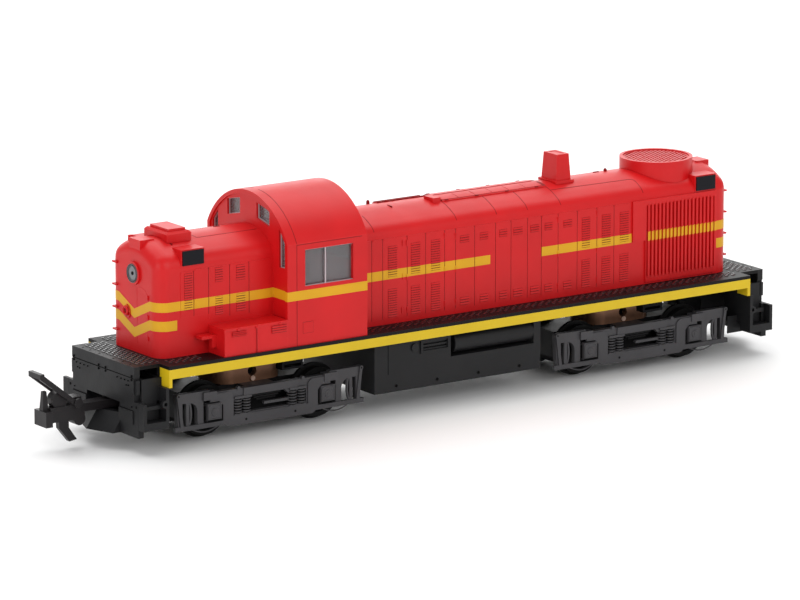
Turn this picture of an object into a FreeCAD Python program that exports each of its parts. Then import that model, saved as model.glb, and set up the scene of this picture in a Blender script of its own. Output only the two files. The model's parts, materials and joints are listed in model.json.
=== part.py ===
"""Scale-model road-switcher diesel locomotive, 1:87, as a parametric FreeCAD document.

Frame: +X towards the short hood, +Y to the locomotive's left, +Z up. The origin is on the
floor under the wheel flanges, midway along the whole model. Positions in the formulas are
measured from the middle between the two trucks; make_node() shifts every piece to the origin.
"""
import FreeCAD, Part
import math
import os
import re
import Sketcher
from FreeCAD import Placement, Rotation, Vector

DIMENSIONS = [
    # alias, millimetres, what it is; heights are over the floor, lengths from the middle
    # wheels and axles
    ("tread_radius", 5.85, "wheel tread radius"),
    ("flange_depth", 0.8, "flange height over the tread"),
    ("back_to_back", 14.4, "distance between the wheels' inner faces"),
    ("wheel_width", 2.8, "wheel width with its flange"),
    ("flange_width", 0.8, "flange width"),
    ("rim_width", 1.1, "width of a wheel's rim"),
    ("wheel_dish", 0.6, "depth of the dish in a wheel's outer face"),
    ("hub_radius", 2.1, "radius of a wheel's hub"),
    ("axle_radius", 1.0, "axle radius"),
    ("running_gap", 0.05, "radial clearance of axles and pivots"),
    ("truck_spacing", 107.3, "distance between truck centres"),
    ("wheelbase", 31.4, "axle spacing of a truck"),
    # gearcase and tower of a truck
    ("gearcase_half", 20.4, "half length of a gearcase"),
    ("gearcase_side", 5.6, "half width of a gearcase"),
    ("gearcase_low", 2.6, "underside of a gearcase"),
    ("gearcase_top", 10.6, "top of a gearcase"),
    ("gearcase_bevel", 1.6, "bevel of a gearcase's lower ends"),
    ("tower_half", 9.0, "half length of the tower on a gearcase"),
    ("tower_side", 6.0, "half width of the tower"),
    ("tower_round", 4.0, "radius of the tower's corners"),
    ("tower_gap", 0.3, "gap from a tower up to the main beam"),
    ("tower_hole", 1.2, "radius of the tower's side hole"),
    ("tower_hole_margin", 0.4, "wall over that hole"),
    ("tower_hole_deep", 2.0, "depth of that hole"),
    ("tower_peg", 0.5, "radius of the contact peg under that hole"),
    ("peg_reach", 0.4, "reach of that peg over the tower's side"),
    ("pivot_radius", 2.0, "radius of a truck's pivot pin"),
    ("pivot_cover", 1.8, "from a pivot pin's end up to the deck"),
    ("pivot_room", 0.3, "clearance over the pivot pin's end"),
    # sideframe of a truck; lengths from the truck's centre or from an axle
    ("frame_in", 12.1, "inner face of a sideframe"),
    ("frame_out", 13.5, "outer face of a sideframe"),
    ("frame_low", 2.9, "underside of a sideframe's middle"),
    ("frame_top", 11.5, "top of a sideframe's middle"),
    ("frame_end_top", 12.2, "top of a sideframe's ends"),
    ("frame_half", 25.7, "half length of a sideframe at its top"),
    ("frame_foot", 25.2, "half length of a sideframe at its end hangers' feet"),
    ("frame_belly", 11.2, "half length of a sideframe's low middle"),
    ("belly_round", 1.6, "radius of that middle's corners"),
    ("jaw_low", 4.5, "underside of the axle guides"),
    ("slot_half", 2.6, "half width of an axle guide's slot"),
    ("slot_top", 9.4, "top of that slot"),
    ("slot_bevel", 1.1, "bevel of the slot's upper inner corner"),
    ("slot_step", 0.3, "from an axle inwards to the taller part of its slot"),
    ("leg_inner", 5.3, "from an axle inwards to the edge of its leg"),
    ("leg_over", 0.9, "reach of the leg's head over the axle"),
    ("leg_top", 11.2, "top of that head"),
    ("leg_round", 1.5, "radius of that head's corners"),
    ("leg_proud", 0.35, "height of the legs and chord over the sideframe's face"),
    ("rail_top", 5.4, "top of the rail between the legs"),
    ("chord_half", 7.4, "half length of the chord over the springs"),
    ("chord_low", 9.8, "underside of that chord"),
    ("arch_near", 4.2, "from an axle to the near edge of the end arch"),
    ("arch_far", 8.3, "from an axle to the far edge of the end arch"),
    ("arch_top", 9.9, "top of the end arch"),
    ("arch_round", 2.3, "radius of that arch's inner corner"),
    ("bay_near", 5.2, "from the truck's centre to a spring bay"),
    ("bay_far", 10.0, "from the truck's centre to a spring bay's far edge"),
    ("bay_low", 5.7, "floor of a spring bay"),
    ("bay_top", 9.0, "top of a spring bay"),
    ("window_low", 5.7, "floor of the opening between the spring bays"),
    ("window_top", 9.6, "top of that opening"),
    ("window_slant", 1.2, "slant of that opening's upper corners"),
    ("spring_radius", 1.0, "radius of a coil spring"),
    ("spring_inner", 6.4, "from the truck's centre to an inner spring"),
    ("spring_outer", 8.8, "from the truck's centre to an outer spring"),
    ("spring_proud", 0.4, "reach of a spring over the sideframe's face"),
    ("axlebox_half", 1.9, "half width of an axlebox"),
    ("axlebox_low", 5.0, "underside of an axlebox"),
    ("axlebox_top", 9.1, "top of an axlebox"),
    ("axlebox_proud", 0.8, "reach of an axlebox over the sideframe's face"),
    ("guide_sunk", 0.6, "depth of the plate round an axlebox under the face"),
    ("cap_proud", 0.3, "reach of the tie bars over the face"),
    ("cap_half", 1.8, "half length of the block over an axle guide"),
    ("cap_shift", 1.0, "from an axle outwards to the centre of that block"),
    ("cap_reach", 0.6, "reach of that block over the face"),
    ("cap_low", 10.0, "underside of that block"),
    ("cap_top", 11.9, "top of that block"),
    ("tie_near", 3.4, "from an axle inwards to the end of the tie bar"),
    ("tie_far", 10.4, "from an axle outwards to the end of the tie bar"),
    ("tie_low", 3.5, "underside of the tie bar"),
    ("tie_sunk", 0.5, "depth of the tie bar behind the face"),
    ("plank_past", 0.6, "reach of the spring plank past its bay's near edge"),
    ("plank_end", 1.4, "front end of the spring plank"),
    ("plank_low", 6.8, "underside of the spring plank"),
    ("plank_thick", 0.6, "thickness of the spring plank"),
    ("shoe_place", 6.9, "from an axle to the brake hanger in the end arch"),
    ("shoe_width", 0.8, "width of that hanger"),
    ("shoe_thick", 0.7, "thickness of that hanger"),
    ("shoe_top", 10.2, "top of that hanger"),
    ("arm_half", 4.0, "half length of the arm that carries a sideframe"),
    ("arm_thick", 1.0, "thickness of that arm"),
    # walkway, sills and underframe
    ("deck_top", 20.3, "height of the walkway"),
    ("deck_thick", 0.8, "thickness of the walkway plate"),
    ("deck_half", 17.5, "half width of the walkway"),
    ("deck_reach", 83.65, "half length of the full-width walkway"),
    ("platform_half", 13.45, "half width of an end platform"),
    ("sill_high", 2.2, "height of a side sill"),
    ("sill_thick", 0.8, "thickness of a side sill"),
    ("sill_drop", 2.0, "drop of a sill's end tab under the sill"),
    ("beam_half", 9.6, "half width of the main beam"),
    ("wheel_room", 1.7, "gap from a wheel's flange up to the main beam"),
    ("beam_back", 1.65, "from the deck's end back to the main beam's end"),
    ("loop_half", 2.9, "half length of a strap loop under the beam"),
    ("loop_drop", 1.2, "drop of a strap loop under the beam"),
    ("loop_bar", 0.5, "thickness of a strap loop"),
    ("loop_out", 12.3, "outer face of a strap loop"),
    ("front_loop", 46.5, "place of the front strap loop"),
    ("rear_loop", 57.9, "place of the rear strap loop, behind the middle"),
    # pilots and steps
    ("platform_long", 6.95, "from the walkway's end to a pilot's face"),
    ("pilot_thick", 1.5, "thickness of a pilot"),
    ("pilot_low", 3.9, "underside of a pilot"),
    ("pilot_half", 13.2, "half width of a pilot's upper part"),
    ("coping_low", 17.7, "underside of a pilot's coping band"),
    ("skirt_half", 15.0, "half width of a pilot's lower part"),
    ("skirt_top", 12.2, "top of a pilot's lower part"),
    ("gate_half", 7.1, "half width of a pilot's coupler gate"),
    ("gate_top", 11.1, "top of the coupler gate"),
    ("lug_low", 13.9, "underside of a pilot's side lug"),
    ("lug_high", 17.2, "top of a pilot's side lug"),
    ("lug_reach", 0.9, "reach of a pilot's side lug"),
    ("lug_back", 1.1, "from a pilot's face back to its side lug's rear"),
    ("lug_thick", 0.8, "thickness of that lug"),
    ("plow_top", 8.3, "top of the plow in the gate"),
    ("plow_reach", 4.7, "reach of the plow's foot before the pilot's face"),
    ("plow_rake", 3.0, "rake of the plow's nose between foot and top"),
    ("plow_sweep", 2.7, "sweep of the plow from its nose to its sides"),
    ("step_low", 5.9, "underside of a step box"),
    ("step_riser", 1.8, "height of the lowest step"),
    ("step_mid", 10.4, "underside of the middle step"),
    ("step_plate", 0.8, "thickness of the middle step and of the posts"),
    ("step_wall", 0.7, "thickness of a step box's inner wall"),
    ("step_back", 1.6, "from the middle step's edge to the posts' face"),
    ("eye_height", 11.6, "height of the ring on a step box"),
    ("eye_radius", 0.9, "outer radius of that ring"),
    ("eye_hole", 0.45, "hole of that ring"),
    # tank
    ("tank_front", 25.35, "front end of the tank"),
    ("tank_rear", 22.45, "rear end of the tank, behind the middle"),
    ("tank_half", 15.0, "half width of the tank"),
    ("tank_low", 5.1, "underside of the tank"),
    ("recess_front", 3.6, "front end of the recess for the air reservoir"),
    ("recess_rear", 20.5, "rear end of that recess, behind the middle"),
    ("recess_low", 11.4, "floor of that recess"),
    ("recess_deep", 4.2, "depth of that recess"),
    ("reservoir_radius", 2.6, "radius of the air reservoir"),
    ("reservoir_front", 2.2, "front end of the air reservoir"),
    ("reservoir_foot", 0.3, "gap between the reservoir and the recess's floor"),
    ("louvre_front", 12.4, "front edge of the slatted box"),
    ("louvre_rear", 4.1, "rear edge of the slatted box"),
    ("louvre_low", 13.3, "underside of the slatted box"),
    ("louvre_top", 16.7, "top of the slatted box"),
    ("louvre_rim", 0.6, "rim of the slatted box"),
    ("louvre_proud", 0.4, "reach of the slatted box over the tank's side"),
    ("louvre_deep", 0.7, "depth of the niche behind the slats"),
    ("louvre_slat", 0.4, "height of a slat"),
    ("cap_place", 14.0, "place of the round fitting on the tank"),
    ("fitting_radius", 1.0, "radius of that fitting"),
    ("fitting_proud", 0.4, "reach of that fitting"),
    # hoods
    ("lap", 0.2, "lap of a piece inside the one it is made with"),
    ("seat_gap", 0.05, "glue line under the pieces seated on the hoods' curved roofs"),
    ("hood_half", 10.4, "half width of the hoods"),
    ("hood_spring", 41.1, "height where a hood's side starts to curve"),
    ("shoulder_radius", 3.9, "radius of a hood's shoulder"),
    ("shoulder_inset", 2.2, "inset of the shoulder's upper end"),
    ("hood_shoulder", 44.3, "height where the shoulder meets the crown"),
    ("hood_crown", 46.6, "height of a hood's ridge"),
    ("hood_wall", 1.2, "wall of the hoods"),
    ("hood_roof", 2.4, "depth of the roof under the shoulder's upper end"),
    ("nose_round", 3.2, "radius of a hood's end corners"),
    ("nose_back", 1.75, "from the walkway's front end back to the short hood's face"),
    ("tail_back", 1.3, "from the walkway's rear end back to the long hood's face"),
    ("board_height", 3.4, "height of a number board"),
    ("board_low", 41.5, "underside of a number board"),
    ("board_thick", 0.3, "thickness of a number board"),
    ("board_rim", 0.3, "rim of a number board's housing"),
    ("front_board", 72.6, "place of the front number boards"),
    ("rear_board", 74.9, "place of the rear number boards, behind the middle"),
    ("board_half", 2.85, "half length of a number board"),
    ("visor_back", 4.0, "from a hood's face back to the rear of its headlight visor"),
    ("visor_set", 0.2, "from a hood's face back to that visor's front"),
    ("visor_half", 2.3, "half width of a headlight visor"),
    ("visor_top", 46.75, "top of a headlight visor"),
    ("visor_low", 43.9, "height inside the roof where a visor starts"),
    ("lamp_height", 38.8, "height of a headlight"),
    ("lamp_radius", 2.2, "radius of a headlight"),
    ("lamp_depth", 0.7, "reach of a headlight's ring"),
    ("lens_radius", 1.75, "radius of a headlight's lens"),
    ("lens_depth", 0.4, "reach of a headlight's lens"),
    ("bezel_wide", 0.5, "width of the bezel round a headlight"),
    ("bezel_depth", 0.5, "reach of that bezel"),
    ("grab_low", 24.0, "height of the lowest grab iron"),
    ("grab_pitch", 5.3, "height between grab irons"),
    ("grab_bar", 0.4, "thickness of a grab iron"),
    ("grab_in", 7.0, "inner end of a grab iron"),
    ("grab_out", 8.8, "outer end of a grab iron"),
    ("grab_reach", 0.5, "reach of a grab iron before the hood's face"),
    ("hatch_front", 76.0, "front edge of the roof hatch"),
    ("hatch_rear", 69.4, "rear edge of the roof hatch"),
    ("hatch_half", 4.9, "half width of the roof hatch"),
    ("hatch_rim", 48.2, "height of the roof hatch's rim"),
    ("hatch_top", 48.8, "height of the roof hatch's lid"),
    ("hatch_inset", 1.0, "inset of that lid"),
    ("vent_front", 1.1, "front edge of the roof vent"),
    ("vent_length", 2.2, "length of the roof vent"),
    ("vent_side", 0.2, "near edge of the roof vent, left of the ridge"),
    ("vent_width", 3.8, "width of the roof vent"),
    ("vent_top", 47.3, "top of the roof vent"),
    ("stack_place", 37.75, "place of the exhaust stack, behind the middle"),
    ("stack_foot_half", 2.3, "half length of the stack at its foot"),
    ("stack_top_half", 1.75, "half length of the stack at its top"),
    ("stack_foot_side", 3.2, "half width of the stack at its foot"),
    ("stack_top_side", 2.7, "half width of the stack at its top"),
    ("stack_top", 53.2, "top of the exhaust stack"),
    ("stack_flange", 0.4, "reach of the stack's foot flange"),
    ("flange_rise", 0.3, "rise of that flange over the hood's ridge"),
    ("flue_wall", 0.8, "wall of the stack round its flue"),
    ("flue_deep", 0.8, "depth of the flue"),
    ("fan_place", 67.75, "centre of the radiator fan, behind the middle"),
    ("fan_margin", 1.5, "from the fan's drum to the side of the hood"),
    ("fan_wall", 0.8, "wall of the fan's drum"),
    ("fan_top", 49.0, "top of the fan's drum"),
    ("grille_drop", 0.25, "depth of the fan grille under the drum's edge"),
    ("grille_thick", 0.7, "thickness of the fan grille"),
    ("grille_ring", 0.5, "width of the fan grille's ring"),
    ("slat_pitch", 0.95, "distance between the fan grille's slats"),
    ("slat_width", 0.45, "width of a slat"),
    ("radiator_front", 52.85, "front edge of the radiator's frame, behind the middle"),
    ("fins_front", 57.2, "front end of the radiator's fins, behind the middle"),
    ("fins_rear", 77.2, "rear end of the radiator's fins, behind the middle"),
    ("radiator_rear", 78.1, "rear edge of the radiator's frame, behind the middle"),
    ("radiator_split", 31.2, "height where the radiator's frame widens"),
    ("radiator_low", 20.9, "underside of the radiator's frame"),
    ("radiator_border", 1.4, "top and bottom border of the radiator's frame"),
    ("radiator_plate", 0.5, "thickness of the radiator's frame"),
    ("radiator_back", 0.15, "thickness of the sheet behind the fins"),
    ("fin_pitch", 1.12, "distance between the radiator's fins"),
    ("fin_width", 0.5, "width of a fin"),
    ("fin_depth", 0.75, "depth of a fin"),
    ("fins_margin", 0.3, "gap between the end fins and the radiator's frame"),
    # cab
    ("cab_front", 50.55, "front face of the cab"),
    ("cab_rear", 29.15, "rear face of the cab"),
    ("cab_half", 17.0, "half width of the cab"),
    ("cab_spring", 44.4, "height of the cab's eaves"),
    ("cab_crown", 54.6, "height of the cab's ridge"),
    ("cab_wall", 1.0, "wall of the cab"),
    ("cab_rim", 0.4, "reach of the roof and sides over the end walls"),
    ("pane_thick", 0.5, "thickness of the glazing"),
    ("pane_lap", 0.6, "lap of a pane over the edge of its window"),
    ("side_window_front", 46.05, "front edge of a cab side window"),
    ("side_window_rear", 32.65, "rear edge of a cab side window"),
    ("side_window_low", 34.2, "sill of a cab side window"),
    ("side_window_top", 42.8, "top of a cab side window"),
    ("pane_bar_place", 40.2, "place of the bar on a side window's pane"),
    ("pane_bar", 0.25, "width of that bar"),
    ("pane_bar_proud", 0.3, "height of that bar over the pane"),
    ("end_window_in", 3.5, "inner edge of a square end window"),
    ("end_window_out", 8.9, "outer edge of a square end window"),
    ("end_window_low", 48.5, "sill of a square end window, at its inner edge"),
    ("end_window_top", 52.2, "top of a square end window, at its inner edge"),
    ("end_window_slope", 1.2, "fall of a square end window to its outer edge"),
    ("tall_window_in", 12.9, "inner edge of a tall end window"),
    ("tall_window_out", 15.3, "outer edge of a tall end window"),
    ("tall_window_low", 38.5, "sill of a tall end window"),
    ("tall_window_top", 47.8, "top of a tall end window, at its inner edge"),
    ("tall_window_fall", 2.8, "fall of a tall end window's top to its outer edge"),
    ("chest_front", 68.25, "front end of a battery box"),
    ("chest_top", 26.9, "top of a battery box"),
    ("chest_lid", 0.5, "thickness of a battery box's lid"),
    ("chest_lap", 0.2, "overhang of that lid"),
    ("perch_front", 72.3, "front edge of the footrest on a battery box"),
    ("perch_out", 13.6, "outer edge of that footrest"),
    ("perch_high", 25.0, "top of that footrest"),
    ("perch_thick", 0.7, "thickness of that footrest"),
    ("perch_leg", 2.2, "height of that footrest's bracket"),
    ("perch_in", 0.5, "gap between that footrest and the hood"),
    ("bracket_long", 1.2, "length of that bracket"),
    ("bracket_wide", 1.4, "width of that bracket"),
    ("motor_front", 21.0, "front end of the motor block"),
    ("motor_rear", 30.0, "rear end of the motor block, behind the middle"),
    ("motor_room", 2.9, "from a hood's side in to the motor block"),
    ("motor_top", 39.0, "top of the motor block"),
    # coupler
    ("tip_ahead", 26.8, "from a pocket's pin forward to the coupler's front end"),
    ("pocket_back", 3.5, "from the pin back to a pocket's rear end"),
    ("pocket_gap", 2.5, "from a pilot's face back to its coupler pocket"),
    ("pocket_half", 4.6, "half width of a coupler pocket"),
    ("pocket_low", 6.2, "underside of a coupler pocket"),
    ("pocket_wall", 0.8, "wall of a coupler pocket"),
    ("pocket_roof", 11.6, "ceiling of a coupler pocket's room"),
    ("pin_back", 8.5, "from a pilot's face back to its pocket's pin"),
    ("pin_radius", 1.0, "radius of a pocket's pin"),
    ("shank_back", 1.8, "from the pin back to the shank's rear end"),
    ("shank_half", 1.6, "half width of the shank"),
    ("shank_low", 8.5, "underside of the shank"),
    ("shank_high", 10.4, "top of the shank"),
    ("head_ahead", 14.5, "from the pin forward to the shank's deep head"),
    ("head_low", 6.9, "underside of that head"),
    ("plate_ahead", 25.4, "from the pin forward to the coupler's plate"),
    ("plate_thick", 1.8, "thickness of that plate"),
    ("plate_half", 2.6, "half width of that plate"),
    ("plate_low", 6.2, "underside of that plate"),
    ("plate_high", 9.8, "top of that plate"),
    ("hook_top", 14.3, "top of the coupler's hook"),
    ("hook_back", 1.0, "from that plate's face back to the hook"),
    ("hook_foot", 0.8, "half width of the hook's foot"),
    ("hook_tip", 0.45, "half width of the hook's top"),
    ("lobe_ahead", 15.8, "from the pin forward to the lobe under the head"),
    ("lobe_radius", 1.5, "radius of that lobe"),
    ("horn_ahead", 20.9, "from the pin forward to the round horn on the shank"),
    ("horn_height", 11.9, "height of the horn's centre"),
    ("horn_radius", 2.0, "radius of that horn"),
    ("horn_half", 1.2, "half thickness of that horn"),
    ("trip_half", 0.7, "half thickness of the trip arm"),
    ("trip_low", 1.7, "lower end of the trip arm"),
    ("loop_pivot_ahead", 16.8, "from the pin forward to the loop's pivot"),
    ("loop_pivot_height", 11.0, "height of the loop's pivot"),
    ("loop_pivot_radius", 0.7, "radius of the loop's pivot"),
    ("loop_in", 1.8, "inner face of a loop arm"),
    ("loop_out_face", 2.6, "outer face of a loop arm"),
    ("loop_top", 18.9, "top of the loop's tip"),
    ("loop_deep", 1.1, "depth of the loop's bar"),
    ("loop_bar_high", 1.2, "height of the loop's bar"),
    ("loop_eye", 0.8, "wall of a loop arm behind its pivot"),
    ("cheek_half", 1.5, "half length of the shank's cheeks at that pivot"),
    ("cheek_rise", 1.2, "height of those cheeks over the pivot"),
]

doc = FreeCAD.newDocument("diesel_locomotive")
dims = doc.addObject("Spreadsheet::Sheet", "dims")
for row, (alias, value, note) in enumerate(DIMENSIONS, start=1):
    dims.set(f"A{row}", alias)
    dims.set(f"B{row}", str(value))
    dims.set(f"C{row}", note)
    dims.setAlias(f"B{row}", alias)
doc.recompute()

ALIASES = {alias for alias, _, _ in DIMENSIONS}
FOLLOWING = {
    # places that follow from the sizes, each before the places that it uses
    "coupler_tip": "(pin_place + tip_ahead)",
    "hook_place": "(plate_front - hook_back)",
    "plate_front": "(pin_place + plate_ahead)",
    "head_rear": "(pin_place + head_ahead)",
    "lobe_place": "(pin_place + lobe_ahead)",
    "horn_place": "(pin_place + horn_ahead)",
    "loop_pivot_place": "(pin_place + loop_pivot_ahead)",
    "shank_rear": "(pin_place - shank_back)",
    "pocket_rear": "(pin_place - pocket_back)",
    "pin_place": "(pilot_face - pin_back)",
    "pocket_front": "(pilot_face - pocket_gap)",
    "pilot_face": "(deck_reach + platform_long)",
    "short_hood_front": "(deck_reach - nose_back)",
    "long_hood_rear": "(deck_reach - tail_back)",
    "fan_radius": "(hood_half - fan_margin)",
    "motor_half": "(hood_half - motor_room)",
    "beam_reach": "(deck_reach - beam_back)",
    "pivot_length": "(deck_top - deck_thick - pivot_cover - tower_top)",
    "tower_top": "(beam_low - tower_gap)",
    "beam_low": "(2 * (tread_radius + flange_depth) + wheel_room)",
}
SHIFT = "(coupler_tip - pilot_face - plow_reach) / 2"
SLAT_ANGLE = 30   # degrees between the fan grille's slats and the locomotive's length
ROUND_TOP = 0.505  # radius of a rounded top over its width
nodes = []


def formula(text):
    """Turn a formula over the named dimensions and places into a FreeCAD expression."""
    text = str(text)
    for place, meaning in FOLLOWING.items():
        text = re.sub(rf"\b{place}\b", meaning, text)
    return re.sub(r"[a-z_]\w*", lambda word: "dims." + word[0] if word[0] in ALIASES else word[0], text)


def size(text):
    """The number that a formula gives now."""
    return float(dims.evalExpression(formula(text)))


def bind(obj, prop, text):
    obj.setExpression(prop, formula(text))


def box(name, x, y, z):
    """A block between (low, high) formulas along each axis."""
    obj = doc.addObject("Part::Box", name)
    for prop, axis, (low, high) in (("Length", "x", x), ("Width", "y", y), ("Height", "z", z)):
        bind(obj, prop, f"({high}) - ({low})")
        bind(obj, "Placement.Base." + axis, low)
    return obj


TURNS = {"x": Rotation(Vector(0, 1, 0), 90), "y": Rotation(Vector(1, 0, 0), -90), "z": Rotation()}


def rod(name, along, radius, start, length):
    """A cylinder that runs from its start point along +x, +y or +z."""
    obj = doc.addObject("Part::Cylinder", name)
    obj.Placement = Placement(Vector(), TURNS[along])
    bind(obj, "Radius", radius)
    bind(obj, "Height", length)
    for axis, text in zip("xyz", start):
        bind(obj, "Placement.Base." + axis, text)
    return obj


def fuse(name, *pieces):
    obj = doc.addObject("Part::MultiFuse", name)
    obj.Shapes = list(pieces)
    return obj


def cut(name, base, *tools):
    obj = doc.addObject("Part::Cut", name)
    obj.Base = base
    obj.Tool = tools[0] if len(tools) == 1 else fuse(name + "_tools", *tools)
    return obj


def common(name, first, second):
    obj = doc.addObject("Part::MultiCommon", name)
    obj.Shapes = [first, second]
    return obj


def mirror(name, source, normal):
    obj = doc.addObject("Part::Mirroring", name)
    obj.Source = source
    obj.Normal = normal
    return obj


def both_sides(name, piece):
    """The piece and its mirror image on the other side of the locomotive."""
    return fuse(name, piece, mirror(name + "_mirror", piece, Vector(0, 1, 0)))


def other_end(name, piece):
    return mirror(name, piece, Vector(1, 0, 0))


def both_ends(name, *pieces):
    """A node of the pieces at the front and one of their mirror images at the rear."""
    make_node("front_" + name, fuse("front_" + name + "_shape", *pieces))
    make_node("rear_" + name, other_end("rear_" + name + "_shape", fuse(name + "_turned", *pieces)))


def new_sketch(body, name, plane, offset):
    sketch = body.newObject("Sketcher::SketchObject", name)
    origin_plane = next(f for f in body.Origin.OriginFeatures if f.Role == plane + "_Plane")
    sketch.AttachmentSupport = (origin_plane, [""])
    sketch.MapMode = "FlatFace"
    bind(sketch, "AttachmentOffset.Base.z", offset)
    return sketch


def draw(sketch, corners):
    """Close an outline through corners (u, v) or (u, v, radius): with a radius, the edge that
    leaves the corner is an arc that bulges to the right of its direction."""
    spots = [Vector(size(c[0]), size(c[1]), 0) for c in corners]
    ends = []
    for index, corner in enumerate(corners):
        start, end = spots[index], spots[(index + 1) % len(spots)]
        if len(corner) == 2:
            ends.append((sketch.addGeometry(Part.LineSegment(start, end), False), 1, 2))
            continue
        radius = size(corner[2])
        chord = end - start
        left = Vector(-chord.y, chord.x, 0).normalize()
        centre = (start + end) * 0.5 + left * math.sqrt(max(radius ** 2 - chord.Length ** 2 / 4, 0))
        geo = sketch.addGeometry(Part.Arc(start, centre - left * radius, end), False)
        ends.append((geo, 1, 2))
        index_radius = sketch.addConstraint(Sketcher.Constraint("Radius", geo, radius))
        sketch.setExpression(f"Constraints[{index_radius}]", formula(corner[2]))
    for index, (corner, spot) in enumerate(zip(corners, spots)):
        geo, first, _ = ends[index]
        before, _, last = ends[index - 1]
        sketch.addConstraint(Sketcher.Constraint("Coincident", before, last, geo, first))
        for kind, value, text in (("DistanceX", spot.x, corner[0]), ("DistanceY", spot.y, corner[1])):
            number = sketch.addConstraint(Sketcher.Constraint(kind, -1, 1, geo, first, value))
            sketch.setExpression(f"Constraints[{number}]", formula(text))


def prism(name, plane, corners, low, high):
    """A body whose outline on the YZ, XZ or XY plane is padded from low to high."""
    body = doc.addObject("PartDesign::Body", name)
    facing_back = plane == "XZ"
    sketch = new_sketch(body, name + "_outline", plane, f"-({high})" if facing_back else low)
    draw(sketch, corners)
    pad = body.newObject("PartDesign::Pad", name + "_pad")
    pad.Profile = sketch
    bind(pad, "Length", f"({high}) - ({low})")
    sketch.Visibility = False
    doc.recompute()
    return body


def round_edges(body, name, radius, wanted, kind="Fillet"):
    """Round or chamfer the edges of the body's tip that the test wants."""
    tip = body.Tip
    edges = [f"Edge{i}" for i, edge in enumerate(tip.Shape.Edges, start=1) if wanted(edge)]
    feature = body.newObject("PartDesign::" + kind, name)
    feature.Base = (tip, edges)
    bind(feature, "Radius" if kind == "Fillet" else "Size", radius)
    doc.recompute()
    return feature


def pocket(body, name, plane, corners, low, high):
    """Cut the outline out of the body from low to high."""
    facing_back = plane == "XZ"
    sketch = new_sketch(body, name + "_outline", plane, f"-({high})" if facing_back else low)
    draw(sketch, corners)
    feature = body.newObject("PartDesign::Pocket", name)
    feature.Profile = sketch
    feature.Reversed = True
    bind(feature, "Length", f"({high}) - ({low})")
    before = body.Shape.Volume
    doc.recompute()
    if not body.Shape.Volume < before:
        raise ValueError(name + " cuts nothing")
    return feature


def revolve(name, plane, corners, axis):
    """A body turned about the sketch's V_Axis or H_Axis."""
    body = doc.addObject("PartDesign::Body", name)
    sketch = new_sketch(body, name + "_profile", plane, "0")
    draw(sketch, corners)
    feature = body.newObject("PartDesign::Revolution", name + "_turn")
    feature.Profile = sketch
    feature.ReferenceAxis = (sketch, [axis])
    feature.Angle = 360
    doc.recompute()
    return body


def move(body, x="0", y="0", z="0"):
    for axis, text in zip("xyz", (x, y, z)):
        bind(body, "Placement.Base." + axis, text)
    return body


def make_node(name, obj):
    """Name the finished sub-part and shift it from the trucks' middle to the origin."""
    text = next((old for path, old in obj.ExpressionEngine if path.endswith("Placement.Base.x")), "0")
    obj.setExpression("Placement.Base.x", f"({text}) - {formula(SHIFT)}")
    obj.Label = name
    nodes.append(obj)
    return obj


def taper(name, plane, first, second, low, high):
    """A body with flat sides between an outline at low and another with as many corners at high."""
    body = doc.addObject("PartDesign::Body", name)
    start = new_sketch(body, name + "_start", plane, low)
    draw(start, first)
    finish = new_sketch(body, name + "_finish", plane, high)
    draw(finish, second)
    loft = body.newObject("PartDesign::AdditiveLoft", name + "_loft")
    loft.Profile = start
    loft.Sections = [finish]
    loft.Ruled = True
    start.Visibility = False
    finish.Visibility = False
    doc.recompute()
    return body


def rectangle(u, v):
    return [(u[0], v[0]), (u[1], v[0]), (u[1], v[1]), (u[0], v[1])]


def mirrored(corners):
    """The same outline on the other side of the vertical axis, still drawn anticlockwise."""
    turned = corners[::-1]
    arcs = [corner[2:] for corner in turned[1:] + turned[:1]]
    return [("-(" + corner[0] + ")", corner[1], *arc) for corner, arc in zip(turned, arcs)]


def round_top(left, right, low, spring):
    """An upright outline with a round top that starts at the spring height."""
    return [(left, low), (right, low), (right, spring, f"(({right}) - ({left})) * {ROUND_TOP}"),
            (left, spring)]


def near(value, text):
    return abs(value - size(text)) < 1e-4


# ---------------------------------------------------------------- walkway and underframe
def walkway():
    quarter = [("deck_reach", "deck_half"), ("deck_reach", "platform_half"),
               ("pilot_face - pilot_thick", "platform_half")]
    front_left = quarter[::-1]
    rear_left = [(f"-({x})", y) for x, y in quarter]
    rear_right = [(f"-({x})", f"-({y})") for x, y in quarter[::-1]]
    front_right = [(x, f"-({y})") for x, y in quarter]
    corners = front_right + front_left + rear_left + rear_right
    make_node("walkway_deck", prism("deck", "XY", corners, "deck_top - deck_thick", "deck_top"))

    low, high = "deck_top - deck_thick - sill_high", "deck_top - deck_thick"
    band = box("sill_band", ("-deck_reach", "deck_reach"), ("deck_half - sill_thick", "deck_half"),
               (low, high))
    tab = box("sill_tab", ("deck_reach - sill_thick", "deck_reach"), ("platform_half", "deck_half"),
              (f"{low} - sill_drop", high))
    sill = fuse("sill", band, tab, other_end("sill_tab_rear", tab))
    make_node("side_sills", both_sides("sills", sill))


def truck_centre(end):
    return f"{end} * truck_spacing / 2"


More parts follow.
